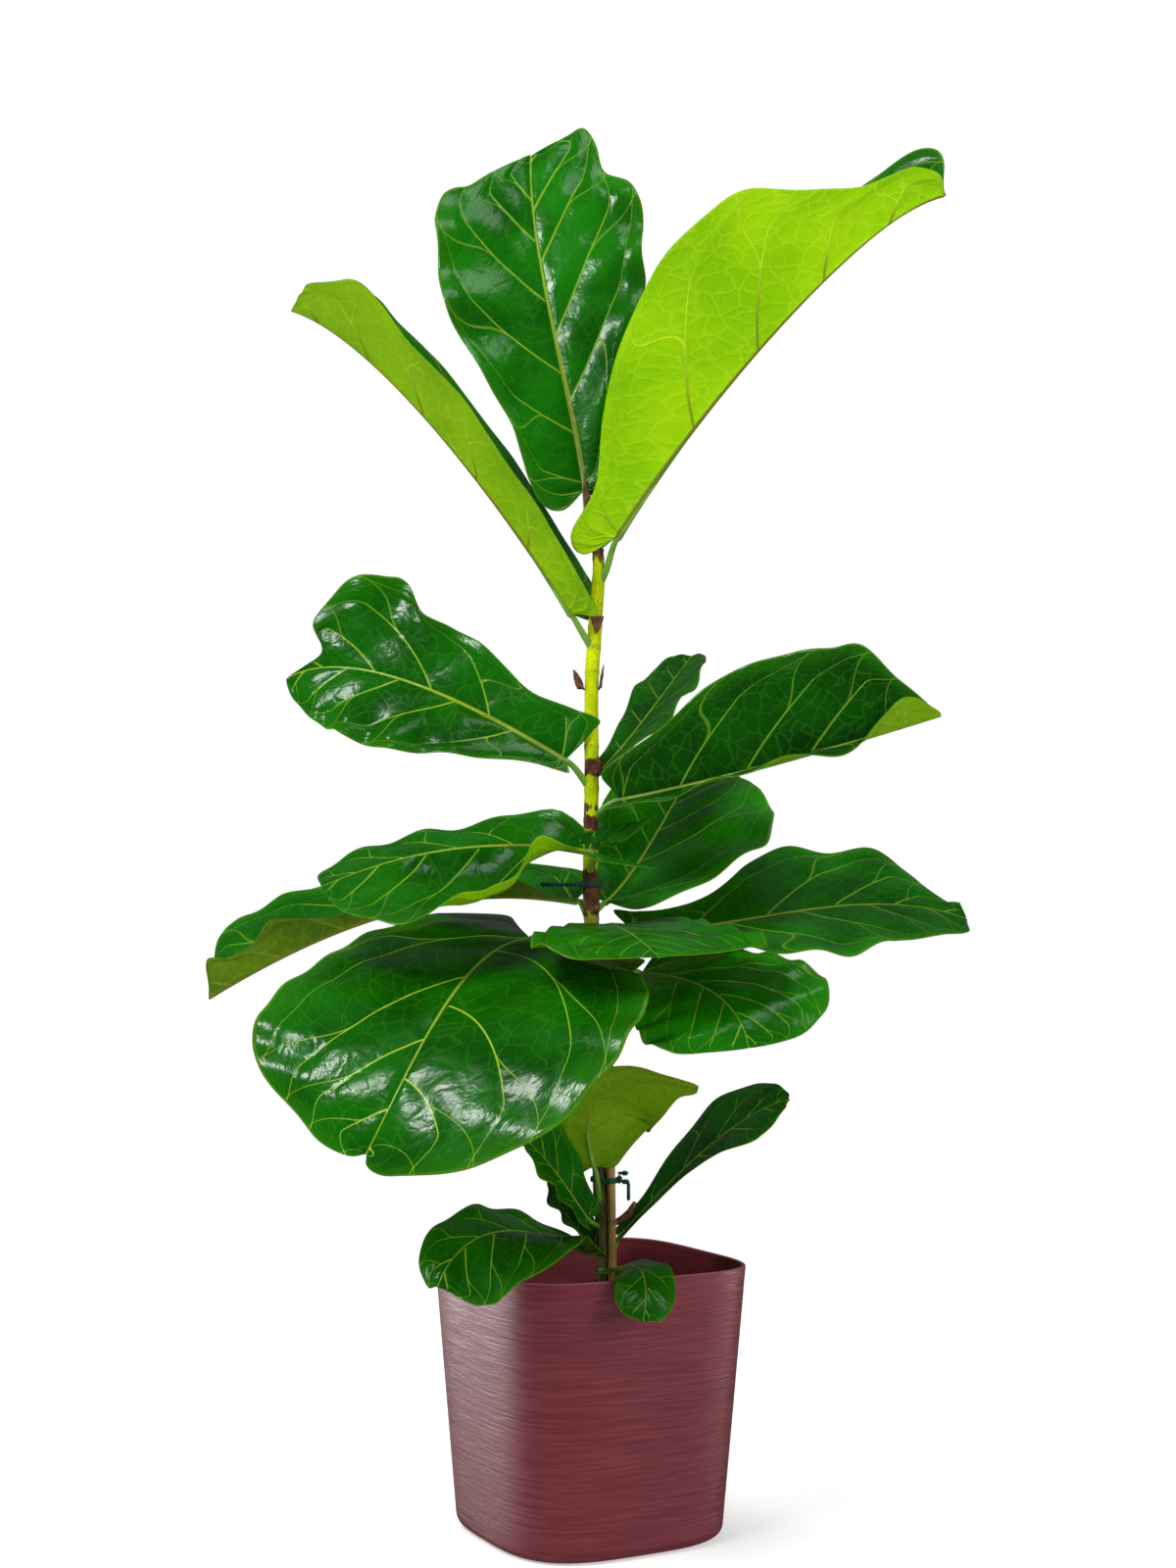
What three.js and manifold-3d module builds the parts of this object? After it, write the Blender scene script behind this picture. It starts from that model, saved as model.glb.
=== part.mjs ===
// A young fiddle-leaf fig with one woody stem, tied to a bamboo stake, in a tapered squircle pot.
// Millimetres, +Z up. The origin is the middle of the pot's flat bottom.

import * as THREE from "three";
import { mergeVertices } from "three/addons/utils/BufferGeometryUtils.js";
import Module from "manifold-3d";

const wasm = await Module();
wasm.setup();

// ---- Driving dimensions ----

const POT_HEIGHT = 216;
const POT_TOP_HALF = 110;
const POT_BOTTOM_HALF = 96.5;
const POT_TOP_POWER = 4.2;
const POT_BOTTOM_POWER = 3.3;
const POT_WALL = 3;
const POT_FLOOR = 5;
const POT_FOOT_RADIUS = 9;
const POT_FOOT_STEPS = 3;
const POT_RIM_ROUND = 0.9;
const POT_SIDES = 40;

const SOIL_EDGE_DEPTH = 45;
const SOIL_CROWN_DEPTH = 17;
const SOIL_CROWN_SPREAD = 42;
const SOIL_SHOULDER = 4;
const SOIL_SURFACE_SHARE = 0.985;
const SOIL_RIPPLE = 1.5;
const SOIL_RIPPLE_LENGTHS = [13, 11];
const SOIL_RINGS = 6;

const GAP = 0.3;
const PLANT_TURN = THREE.MathUtils.degToRad(-28);

const STEM_PATH = [
  [14, 0, 150], [15, 0, 203], [14, 0, 228], [11, 0, 269], [7, 0, 364], [5, 0, 445], [2, 0, 526],
  [3, 0, 609], [3, 0, 691], [6, 0, 741], [9, 0, 787], [7, 2, 816], [1, 4, 840],
];
const STEM_RADII = [7, 7.2, 7, 6.6, 6.3, 6.2, 6.2, 6, 5.8, 5.8, 5.2, 4.4, 3.2];
const STEM_SIDES = 10;
const STEM_STEP = 22;

const STAKE_FOOT = [21, -10, 150];
const STAKE_TOP = [17, -12, 430];
const STAKE_RADIUS = 3.5;

const BUD_PATH = [[1, 4, 841], [0, 5, 850], [-2, 5, 862], [-3, 4, 875]];
const BUD_RADII = [3, 3.2, 2.2, 0.4];

const STUB_PATH = [[13, 0, 243], [24, 1, 246], [33, 1, 252], [39, 1, 262]];
const STUB_RADII = [2.4, 2.6, 3.2, 1.8];

// Papery brown scales left round the stem: low and high edge, where they start and end round the
// stem in degrees, how far their top edge stands off, and how deep it is cut to a point.
const SCALES = {
  scale_1: { low: 503, high: 530, from: -150, to: -5, flare: 0.6, point: 0.25 },
  scale_2: { low: 553, high: 571, from: 200, to: 330, flare: 2, point: 0.6 },
  scale_3: { low: 616, high: 632, from: -100, to: -15, flare: 2.5, point: 0.7 },
  scale_4: { low: 688, high: 706, from: 140, to: 215, flare: 9, point: 0.9 },
  scale_5: { low: 688, high: 710, from: -35, to: 30, flare: 3, point: 0.9 },
  scale_6: { low: 734, high: 750, from: 225, to: 345, flare: 0.4, point: 0 },
  scale_7: { low: 795, high: 808, from: 235, to: 335, flare: 0.4, point: 0 },
};
const SCALE_THICKNESS = 0.9;
const SCALE_STEPS = 6;

const TIE_THICKNESS = 1.6;
const TIE_HEIGHT = 4;
const TIE_SLACK = 0.2;
const TIE_SIDES = 28;
const LOWER_TIE_HEIGHT = 281;
// The lower tie's buckle and bent tail: places from the stake's right side, and sizes.
const LOWER_TIE_BLOCKS = [
  { at: [1.5, 0, 1], size: [5, 5, 7] },
  { at: [6, 0, 6], size: [6, 4, 4] },
  { at: [3, 0, 6], size: [6, 3, 2.5] },
  { at: [6.5, 0, -1], size: [7, 4, 4] },
  { at: [9, 0, -9], size: [3, 3.5, 15] },
];
const UPPER_TIE_HEIGHT = 524;
const UPPER_TIE_SLACK = 1;
const TIE_TAIL_START = 4;
const TIE_TAIL_STAND_OFF = 1.2;
const TIE_TAIL_LENGTH = 38;
const TIE_TAIL_HEIGHT = 2.8;
const TIE_RUNGS = 6;
const TIE_RUNG_INSET = 5;
const TIE_RUNG_SIZE = [2, 2.6, 5.2];

const BLADE_THICKNESS = 0.9;
const KEEL_DEPTH = 1.6;
const LARGE_BLADE = 120;
const LARGE_BLADE_STEPS = [13, 4];
const SMALL_BLADE_STEPS = [10, 3];
const SPINE_STEPS = 60;
const LEFT_WAVE_PHASE = 0.37;
const SWEEP_POWER = 1.3;

const STALK_SIDES = 6;
const STALK_SINK = 2;
const STALK_BEND = 0.35;
const STALK_BEND_STEPS = 5;
const STALK_RISE = 0.7;
const STALK_TAPER = 0.72;
const STALK_TUCK = 0.22;
const STALK_TUCK_STEPS = 2;

const FIDDLE_SWEEP = [0, -0.15, -0.05, 0.05, 0.12, 0.16, 0.16, 0.11, 0];

// Each leaf, in the plant's own frame: x right, y back, z up, before the plant is turned.
// spine: four points of the midrib, from the base of the blade to its tip.
// face: where the upper side looks, from base to tip.
// left, right: half widths at even steps from base to tip, seen from above with the tip up.
// fold, curlLeft: degrees that each half rises at the midrib, and that the left half bends on its
// way to the edge.
// sweep: how far towards the tip the edge lies from where its line leaves the midrib, in leaf
// lengths at even steps from base to tip; sweepRight where the right half has its own.
// wave: height of the edge's ripples, how many, and where they start.
// node: the height on the stem that the stalk grows from, and the stalk's radius.
const LEAVES = {
  leaf_01: {
    spine: [[-3, 12, 861], [-20, 28, 959], [-42, 48, 1073], [-51, 75, 1179]],
    face: [[0.05, -1, 0.2]],
    left: [0, 49, 50, 56, 63, 74, 88, 95, 95, 93, 90, 85, 78, 58, 28, 9, 0],
    right: [0, 20, 22, 28, 42, 59, 76, 86, 90, 94, 96, 96, 76, 58, 46, 30, 0],
    fold: [18, 12, 8],
    wave: [4, 5, 0.1],
    sweep: [0, -0.15, -0.05, 0.05, 0.12, 0.14, 0.12, 0.09, 0],
    sweepRight: [0, -0.15, -0.05, 0.05, 0.12, 0.18, 0.2, 0.21, 0],
    node: [824, 2.8],
  },
  leaf_02: {
    spine: [[25, -10, 816], [102, -25, 921], [206, -45, 1034], [295, -70, 1089]],
    face: [[-0.7, 0.35, 0.62]],
    left: [0, 36, 62, 80, 78, 70, 58, 52, 0],
    right: [0, 36, 36, 44, 70, 92, 106, 112, 108, 98, 66, 42, 34, 30, 22, 12, 0],
    foldLeft: [45, 55, 75],
    foldRight: [68, 66, 60],
    wave: [5, 3, 0],
    node: [781, 3.2],
  },
  leaf_03: {
    spine: [[-14, -14, 750], [-88, -40, 854], [-168, -70, 941], [-239, -95, 985]],
    face: [[0.6, 0.45, 0.66]],
    left: [0, 20, 28, 34, 38, 45, 52, 53, 55, 60, 60, 62, 62, 48, 37, 27, 0],
    right: [0, 30, 50, 62, 70, 70, 74, 80, 80, 82, 88, 108, 82, 56, 34, 10, 0],
    foldLeft: [10, 0, 6],
    foldRight: [60, 62, 60],
    wave: [4, 3, 0.2],
    node: [724, 3.2],
  },
  leaf_04: {
    spine: [[-19, -8, 628], [-84, 6, 666], [-178, 30, 706], [-262, 52, 704]],
    face: [[0.1, -1, 0.25]],
    left: [0, 6, 10, 18, 35, 49, 60, 70, 69, 68, 65, 58, 53, 49, 45, 37, 0],
    right: [0, 30, 44, 41, 36, 45, 55, 58, 62, 80, 88, 84, 76, 56, 13, 6, 0],
    fold: [12, 8, 5],
    wave: [5, 5, 0.3],
    sweep: [0, -0.15, -0.05, 0.05, 0.1, 0.1, 0.06, 0.06, 0],
    node: [606, 3.2],
  },
  leaf_05: {
    spine: [[26, -12, 594], [109, -35, 611], [189, -60, 631], [284, -80, 657]],
    face: [[0, -1, 0.2]],
    left: [0, 20, 36, 55, 77, 84, 84, 78, 74, 40, 14, 3, 0],
    right: [0, 20, 34, 46, 50, 50, 48, 40, 30, 32, 14, 4, 0],
    foldLeft: [15, 12, 10],
    foldRight: [64, 66, 69, 74, 76, 74, 68, 112, 150],
    wave: [3, 4, 0],
    node: [578, 3.2],
  },
  leaf_06: {
    spine: [[9, 10, 619], [38, 50, 655], [67, 100, 697], [95, 150, 738]],
    face: [[-0.35, -0.55, 0.7]],
    left: [0, 8, 12, 20, 26, 27, 20, 11, 0],
    right: [0, 26, 46, 48, 42, 36, 24, 10, 0],
    fold: [25, 18, 15],
    wave: [4, 3, 0],
    node: [604, 2.8],
  },
  leaf_07: {
    spine: [[15, 8, 510], [45, 45, 547], [73, 95, 594], [95, 150, 629]],
    face: [[0, -0.6, 0.8]],
    left: [0, 20, 40, 52, 56, 54, 44, 30, 0],
    right: [0, 44, 82, 106, 100, 76, 54, 38, 0],
    fold: [20, 15, 12],
    wave: [4, 4, 0],
    node: [500, 3.2],
  },
  leaf_08: {
    spine: [[0, -30, 551], [-68, -50, 555], [-137, -75, 546], [-211, -95, 520]],
    face: [[0, -0.35, 0.95]],
    left: [0, 26, 48, 52, 52, 72, 94, 106, 107, 97, 88, 78, 66, 55, 43, 26, 0],
    right: [0, 20, 34, 8, 36, 38, 38, 39, 40, 40, 39, 38, 37, 34, 30, 19, 0],
    foldLeft: [3, 8, -38, -62, -62, -55, -32, -18, -12],
    curlLeft: [20, 40, 190, 146, 116, 108, 45, 5, -10],
    foldRight: [62, 14, 4, 0],
    wave: [3, 4, 0],
    sweep: [0, -0.34, -0.13, 0.02, 0.1, 0.14, 0.14, 0.1, 0],
    node: [534, 3.2],
  },
  leaf_09: {
    spine: [[-10, 4, 511], [-109, 15, 512], [-212, 30, 485], [-325, 50, 428]],
    face: [[-0.1, -0.1, 1], [-0.1, 0.3, 0.95]],
    left: [0, 30, 34, 32, 24, 18, 14, 22, 33, 22, 22, 30, 0],
    right: [0, 40, 56, 62, 68, 72, 76, 78, 83, 82, 92, 68, 0],
    foldLeft: [10, 50, 80],
    foldRight: [20, 45, 60],
    wave: [4, 4, 0.2],
    sweep: [0, -0.15, -0.05, 0.05, 0.1, 0.1, 0.08, 0.06, 0],
    node: [496, 3.2],
  },
  leaf_10: {
    spine: [[-47, -45, 480], [-91, -105, 454], [-127, -165, 396], [-163, -195, 321]],
    face: [[-0.1, -0.6, 0.8], [-0.2, -0.85, 0.5]],
    left: [0, 70, 98, 131, 154, 155, 147, 127, 90, 46, 21, 6, 0],
    right: [0, 62, 96, 116, 120, 130, 137, 129, 109, 70, 40, 14, 0],
    foldLeft: [8, 4, 2],
    foldRight: [-12, 0, 2],
    wave: [2, 6, 0],
    sweep: [0, -0.3, -0.12, 0.04, 0.15, 0.22, 0.24, 0.16, 0],
    node: [462, 3.6],
  },
  leaf_11: {
    spine: [[21, -35, 490], [31, -85, 485], [41, -135, 477], [53, -180, 465]],
    face: [[0, -0.15, 1]],
    left: [0, 54, 66, 76, 90, 96, 88, 62, 0],
    right: [0, 28, 50, 70, 84, 84, 68, 42, 0],
    fold: [4, 2, 0],
    wave: [4, 4, 0],
    node: [466, 3.2],
  },
  leaf_12: {
    spine: [[33, -4, 489], [124, 12, 494], [223, 30, 508], [325, 50, 497]],
    face: [[0, -0.5, 0.87]],
    left: [0, 20, 24, 34, 60, 98, 91, 92, 82, 30, 18, 24, 0],
    right: [0, 30, 50, 66, 80, 92, 84, 68, 62, 44, 34, 22, 0],
    foldLeft: [6, 4, 2],
    foldRight: [22, 6, 2],
    wave: [4, 5, 0],
    node: [484, 3.2],
  },
  leaf_13: {
    spine: [[44, -40, 452], [79, -80, 446], [107, -125, 429], [122, -150, 396]],
    face: [[0.15, -0.6, 0.8], [0.1, -0.9, 0.4]],
    left: [0, 30, 50, 64, 76, 80, 66, 38, 0],
    right: [0, 40, 56, 66, 74, 76, 66, 46, 0],
    fold: [4, 2, 0],
    wave: [3, 6, 0],
    node: [436, 3],
  },
  leaf_14: {
    spine: [[5, -18, 293], [1, -31, 334], [25, -42, 362], [89, -50, 358]],
    face: [[0, 0.9, 0.4]],
    left: [0, 20, 50, 58, 60, 44, 14, 6, 0],
    right: [0, 22, 28, 20, 13, 6, 4, 3, 0],
    foldLeft: [6, 15, 10],
    foldRight: [20, 15, 10],
    wave: [2, 3, 0],
    node: [261, 2.8],
  },
  leaf_15: {
    spine: [[28, 5, 236], [70, -10, 282], [117, -35, 326], [161, -62, 351]],
    face: [[-0.5, -0.45, 0.7]],
    left: [0, 8, 14, 32, 43, 40, 24, 8, 0],
    right: [0, 6, 8, 12, 20, 36, 28, 12, 0],
    fold: [12, 5, 0],
    wave: [2, 3, 0],
    node: [214, 2.4],
  },
  leaf_16: {
    spine: [[0, -12, 250], [-16, -26, 275], [-34, -44, 301], [-54, -62, 322]],
    face: [[0.5, -0.5, 0.6]],
    left: [0, 14, 21, 26, 30, 30, 27, 18, 0],
    right: [0, 12, 17, 24, 30, 30, 27, 18, 0],
    foldLeft: [12, 10, 10],
    foldRight: [40, 35, 30],
    wave: [3, 3, 0],
    node: [240, 2.4],
  },
  leaf_17: {
    spine: [[3, 10, 222], [-12, 12, 242], [-25, 12, 262], [-33, 10, 282]],
    face: [[0.7, -0.3, 0.5]],
    left: [0, 10, 17, 25, 31, 31, 28, 20, 0],
    right: [0, 17, 19, 22, 27, 28, 26, 20, 0],
    foldLeft: [25, 15, 10],
    foldRight: [40, 35, 30],
    wave: [3, 3, 0],
    node: [212, 2],
  },
  leaf_18: {
    spine: [[0, -12, 223], [-41, -54, 244], [-83, -107, 249], [-114, -143, 216]],
    face: [[-0.1, -0.4, 0.9], [-0.2, -0.7, 0.7], [-0.4, -0.8, 0.5]],
    left: [0, 18, 36, 56, 51, 50, 48, 36, 0],
    right: [0, 10, 24, 33, 34, 32, 26, 9, 0],
    foldLeft: [24, 24, -8, -25],
    curlLeft: [0, 0, -20, -50],
    foldRight: [10, 6, 4],
    wave: [3, 4, 0],
    sweep: [0, -0.15, -0.05, 0.05, 0.12, 0.16, 0.16, 0.13, 0],
    node: [218, 2.4],
  },
  leaf_19: {
    spine: [[11, -22, 210], [29, -62, 220], [42, -104, 221], [42, -138, 190]],
    face: [[0.1, -0.6, 0.8], [0.1, -0.95, 0.3]],
    left: [0, 8, 14, 19, 23, 24, 20, 13, 0],
    right: [0, 8, 12, 16, 22, 24, 22, 15, 0],
    foldLeft: [-10, -8, 0],
    foldRight: [0, -2, 0],
    wave: [2, 3, 0],
    node: [205, 2],
  },
};

// ---- Small helpers ----

const vec = (p) => new THREE.Vector3(...p);

const mix = THREE.MathUtils.lerp;

const radians = THREE.MathUtils.degToRad;

/** A smooth value through evenly spaced numbers, at a share q from 0 to 1. */
function along(values, q) {
  const last = values.length - 1;
  if (last === 0) {
    return values[0];
  }
  const x = THREE.MathUtils.clamp(q, 0, 1) * last;
  const i = Math.min(Math.floor(x), last - 1);
  const f = x - i;
  const b = values[i];
  const c = values[i + 1];
  const a = i > 0 ? values[i - 1] : 2 * b - c;
  const d = i + 2 <= last ? values[i + 2] : 2 * c - b;
  return 0.5 * (2 * b + (c - a) * f + (2 * a - 5 * b + 4 * c - d) * f * f
    + (3 * b - a - 3 * c + d) * f ** 3);
}

/** A closed solid from triangles of point numbers, with shared points merged. */
function solidFromTriangles(points, triangles) {
  const geometry = new THREE.BufferGeometry();
  const numbers = points.flatMap((p) => [p.x, p.y, p.z]);
  geometry.setAttribute("position", new THREE.Float32BufferAttribute(numbers, 3));
  geometry.setIndex(triangles.flat());
  return toManifold(geometry);
}

function toManifold(geometry) {
  const bare = geometry.clone();
  bare.deleteAttribute("normal");
  bare.deleteAttribute("uv");
  const merged = mergeVertices(bare, 1e-4);
  return new wasm.Manifold(new wasm.Mesh({
    numProp: 3,
    vertProperties: new Float32Array(merged.attributes.position.array),
    triVerts: new Uint32Array(merged.index.array),
  }));
}

function toGeometry(manifold) {
  const mesh = manifold.getMesh();
  const geometry = new THREE.BufferGeometry();
  geometry.setAttribute("position", new THREE.BufferAttribute(mesh.vertProperties.slice(), 3));
  geometry.setIndex(new THREE.BufferAttribute(mesh.triVerts.slice(), 1));
  geometry.computeVertexNormals();
  return geometry;
}

/** A closed skin over a stack of rings with equal point counts, closed with a point at each end. */
function loft(rings, start, end) {
  const points = [start, ...rings.flat(), end];
  const count = rings[0].length;
  const triangles = [];
  for (let i = 0; i < count; i += 1) {
    const next = (i + 1) % count;
    triangles.push([0, 1 + next, 1 + i]);
    const top = 1 + (rings.length - 1) * count;
    triangles.push([points.length - 1, top + i, top + next]);
    for (let r = 0; r + 1 < rings.length; r += 1) {
      const low = 1 + r * count;
      const high = low + count;
      triangles.push([low + i, low + next, high + next]);
      triangles.push([low + i, high + next, high + i]);
    }
  }
  return solidFromTriangles(points, triangles);
}

/** A round limb along a path of points, with a radius at each point. */
function limb(path, radii, sides) {
  let across = new THREE.Vector3(1, 0, 0);
  const rings = path.map((p, i) => {
    const ahead = path[Math.min(i + 1, path.length - 1)];
    const behind = path[Math.max(i - 1, 0)];
    const direction = ahead.clone().sub(behind).normalize();
    across = across.clone().addScaledVector(direction, -across.dot(direction)).normalize();
    const up = direction.clone().cross(across);
    return Array.from({ length: sides }, (_, k) => {
      const angle = (2 * Math.PI * k) / sides;
      return p.clone()
        .addScaledVector(across, radii[i] * Math.cos(angle))
        .addScaledVector(up, radii[i] * Math.sin(angle));
    });
  });
  return loft(rings, path[0], path[path.length - 1]);
}

// ---- Pot and soil ----

/** A point of the pot's rounded-square section. */
function squirclePoint(half, power, angle, z) {
  const c = Math.cos(angle);
  const s = Math.sin(angle);
  const x = half * Math.sign(c) * Math.abs(c) ** (2 / power);
  const y = half * Math.sign(s) * Math.abs(s) ** (2 / power);
  return new THREE.Vector3(x, y, z);
}

/** One ring of the pot's section at height z, brought in by inset. */
function squircleRing(z, inset) {
  const share = z / POT_HEIGHT;
  const half = mix(POT_BOTTOM_HALF, POT_TOP_HALF, share) - inset;
  const power = mix(POT_BOTTOM_POWER, POT_TOP_POWER, share);
  return Array.from({ length: POT_SIDES }, (_, k) => (
    squirclePoint(half, power, (2 * Math.PI * (k + 0.5)) / POT_SIDES, z)
  ));
}

function makePot() {
  const rings = [];
  for (let k = 0; k <= POT_FOOT_STEPS; k += 1) {
    const angle = (Math.PI / 2) * (k / POT_FOOT_STEPS);
    const z = POT_FOOT_RADIUS * (1 - Math.cos(angle));
    rings.push(squircleRing(z, POT_FOOT_RADIUS * (1 - Math.sin(angle))));
  }
  const rim = POT_WALL / 2;
  rings.push(squircleRing(POT_HEIGHT / 2, 0));
  rings.push(squircleRing(POT_HEIGHT - rim, 0));
  rings.push(squircleRing(POT_HEIGHT, POT_RIM_ROUND));
  rings.push(squircleRing(POT_HEIGHT, POT_WALL - POT_RIM_ROUND));
  rings.push(squircleRing(POT_HEIGHT - rim, POT_WALL));
  rings.push(squircleRing(POT_HEIGHT / 2, POT_WALL));
  rings.push(squircleRing(POT_FLOOR + POT_FOOT_RADIUS, POT_WALL));
  rings.push(squircleRing(POT_FLOOR, POT_WALL + POT_FOOT_RADIUS));
  return loft(rings, new THREE.Vector3(0, 0, 0), new THREE.Vector3(0, 0, POT_FLOOR));
}

/** The soil's surface: level near the wall, with a rise round the stem. */
function soilHeight(x, y, crown) {
  const reach = Math.hypot(x - crown.x, y - crown.y) / SOIL_CROWN_SPREAD;
  const rise = Math.exp(-reach * reach) * (SOIL_EDGE_DEPTH - SOIL_CROWN_DEPTH);
  const [alongX, alongY] = SOIL_RIPPLE_LENGTHS;
  const ripple = SOIL_RIPPLE * Math.sin(x / alongX) * Math.cos(y / alongY);
  return POT_HEIGHT - SOIL_EDGE_DEPTH + rise + ripple;
}

function makeSoil(crown, cutters) {
  const inset = POT_WALL + GAP;
  const floor = POT_FLOOR + GAP;
  const rings = [
    squircleRing(floor, inset + POT_FOOT_RADIUS),
    squircleRing(floor + POT_FOOT_RADIUS, inset),
    squircleRing(POT_HEIGHT / 2, inset),
  ];
  const wall = squircleRing(POT_HEIGHT - SOIL_EDGE_DEPTH - SOIL_SHOULDER, inset);
  rings.push(wall);
  for (let k = 0; k < SOIL_RINGS; k += 1) {
    const share = SOIL_SURFACE_SHARE * (1 - k / SOIL_RINGS);
    rings.push(wall.map((p) => {
      const x = mix(crown.x, p.x, share);
      const y = mix(crown.y, p.y, share);
      return new THREE.Vector3(x, y, soilHeight(x, y, crown));
    }));
  }
  const top = new THREE.Vector3(crown.x, crown.y, soilHeight(crown.x, crown.y, crown));
  let soil = loft(rings, new THREE.Vector3(0, 0, floor), top);
  for (const cutter of cutters) {
    soil = soil.subtract(cutter);
  }
  return soil;
}

// ---- Stem and stake ----

const stemCurve = new THREE.CatmullRomCurve3(STEM_PATH.map(vec));

/** The stem's centre line and radii, cut into short steps. */
function stemStations(extra) {
  const steps = Math.round(stemCurve.getLength() / STEM_STEP);
  const shares = Array.from({ length: steps + 1 }, (_, i) => i / steps);
  const path = shares.map((s) => stemCurve.getPoint(s));
  const radii = shares.map((s) => along(STEM_RADII, s) + extra);
  return { path, radii };
}

function stemSolid(extra) {
  const { path, radii } = stemStations(extra);
  if (extra > 0) {
    path[0].z -= extra;
    path[path.length - 1].z += extra;
  }
  return limb(path, radii, STEM_SIDES);
}

/** The stem's centre and radius at a height. */
function stemAt(z) {
  const { path, radii } = stemStations(0);
  const above = Math.max(1, path.findIndex((p) => p.z >= z));
  const low = path[above - 1];
  const high = path[above];
  const share = (z - low.z) / (high.z - low.z);
  return { centre: low.clone().lerp(high, share), radius: mix(radii[above - 1], radii[above], share) };
}

function stakeSolid(extra) {
  const foot = vec(STAKE_FOOT);
  const top = vec(STAKE_TOP);
  foot.z -= extra;
  top.z += extra;
  const radius = STAKE_RADIUS + extra;
  return limb([foot, top], [radius, radius], STEM_SIDES);
}

/** A thin scale wrapped part of the way round the stem, with a pointed, flared upper edge. */
function scaleSolid({ low, high, from, to, flare, point }) {
  const around = SCALE_STEPS;
  const upward = Math.max(3, Math.round((high - low) / SCALE_STEPS));
  const points = [];
  for (const skin of [0, SCALE_THICKNESS]) {
    for (let i = 0; i <= upward; i += 1) {
      for (let j = 0; j <= around; j += 1) {
        const middle = 1 - Math.abs((2 * j) / around - 1);
        const share = i / upward;
        const z = mix(low, high, share * (1 - point * (1 - middle)));
        const { centre, radius } = stemAt(z);
        const reach = radius + GAP + skin + flare * share ** 2;
        const angle = radians(mix(from, to, j / around));
        points.push(new THREE.Vector3(
          centre.x + reach * Math.cos(angle),
          centre.y + reach * Math.sin(angle),
          z,
        ));
      }
    }
  }
  const row = around + 1;
  const sheet = (upward + 1) * row;
  const triangles = [];
  const quad = (a, b, c, d) => triangles.push([a, b, c], [a, c, d]);
  for (let i = 0; i < upward; i += 1) {
    for (let j = 0; j < around; j += 1) {
      const a = i * row + j;
      quad(sheet + a, sheet + a + 1, sheet + a + row + 1, sheet + a + row);
      triangles.push([a, a + row + 1, a + 1], [a, a + row, a + row + 1]);
    }
    quad(i * row, sheet + i * row, sheet + (i + 1) * row, (i + 1) * row);
    const end = i * row + around;
    quad(end, end + row, sheet + end + row, sheet + end);
  }
  for (let j = 0; j < around; j += 1) {
    quad(j, j + 1, sheet + j + 1, sheet + j);
    const top = upward * row + j;
    quad(top, sheet + top, sheet + top + 1, top + 1);
  }
  return solidFromTriangles(points, triangles);
}

/** The outline of a band pulled tight round some upright rods, a distance off them. */
function bandOutline(rods, distance) {
  return Array.from({ length: TIE_SIDES }, (_, k) => {
    const angle = (2 * Math.PI * k) / TIE_SIDES;
    const out = new THREE.Vector2(Math.cos(angle), Math.sin(angle));
    const reach = rods.map(({ x, y, radius }) => x * out.x + y * out.y + radius);
    const rod = rods[reach.indexOf(Math.max(...reach))];
    return new THREE.Vector2(rod.x, rod.y).addScaledVector(out, rod.radius + distance);
  });
}

function bandSolid(rods, z) {
  const shape = new THREE.Shape(bandOutline(rods, GAP + TIE_SLACK + TIE_THICKNESS));
  shape.holes.push(new THREE.Path(bandOutline(rods, GAP + TIE_SLACK)));
  const band = new THREE.ExtrudeGeometry(shape, { depth: TIE_HEIGHT, bevelEnabled: false });
  return toManifold(band.translate(0, 0, z - TIE_HEIGHT / 2));
}

function block([x, y, z], size) {
  return toManifold(new THREE.BoxGeometry(...size).translate(x, y, z));
}

/** The lower tie holds stem and stake together, with its buckle and its bent tail on the right. */
function lowerTie() {
  const z = LOWER_TIE_HEIGHT;
  const foot = vec(STAKE_FOOT);
  const top = vec(STAKE_TOP);
  const stake = foot.clone().lerp(top, (z - foot.z) / (top.z - foot.z));
  const { centre, radius } = stemAt(z);
  const rods = [
    { x: centre.x, y: centre.y, radius },
    { x: stake.x, y: stake.y, radius: STAKE_RADIUS },
  ];
  let tie = bandSolid(rods, z);
  const side = stake.clone().setX(stake.x + STAKE_RADIUS + TIE_THICKNESS);
  for (const { at, size } of LOWER_TIE_BLOCKS) {
    tie = tie.add(block(side.clone().add(vec(at)).toArray(), size));
  }
  return tie;
}

/** The upper tie goes round the stem alone, with its rungs along a tail to the left. */
function upperTie() {
  const z = UPPER_TIE_HEIGHT;
  const { centre, radius } = stemAt(z);
  const outer = radius + SCALE_THICKNESS + UPPER_TIE_SLACK + GAP;
  const y = centre.y - outer - TIE_TAIL_STAND_OFF;
  const start = centre.x - TIE_TAIL_START;
  const tail = [TIE_TAIL_LENGTH, TIE_THICKNESS, TIE_TAIL_HEIGHT];
  let tie = bandSolid([{ x: centre.x, y: centre.y, radius: outer }], z)
    .add(block([start - TIE_TAIL_LENGTH / 2, y, z], tail));
  const spacing = (TIE_TAIL_LENGTH - 2 * TIE_RUNG_INSET) / (TIE_RUNGS - 1);
  for (let k = 0; k < TIE_RUNGS; k += 1) {
    tie = tie.add(block([start - TIE_RUNG_INSET - k * spacing, y, z], TIE_RUNG_SIZE));
  }
  return tie;
}

// ---- Leaves ----

/** The cubic through four points, at a share s. */
function cubic([a, b, c, d], s) {
  const x = 3 * s;
  return vec(a).multiplyScalar(-((x - 1) * (x - 2) * (x - 3)) / 6)
    .addScaledVector(vec(b), (x * (x - 2) * (x - 3)) / 2)
    .addScaledVector(vec(c), (-x * (x - 1) * (x - 3)) / 2)
    .addScaledVector(vec(d), (x * (x - 1) * (x - 2)) / 6);
}

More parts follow.
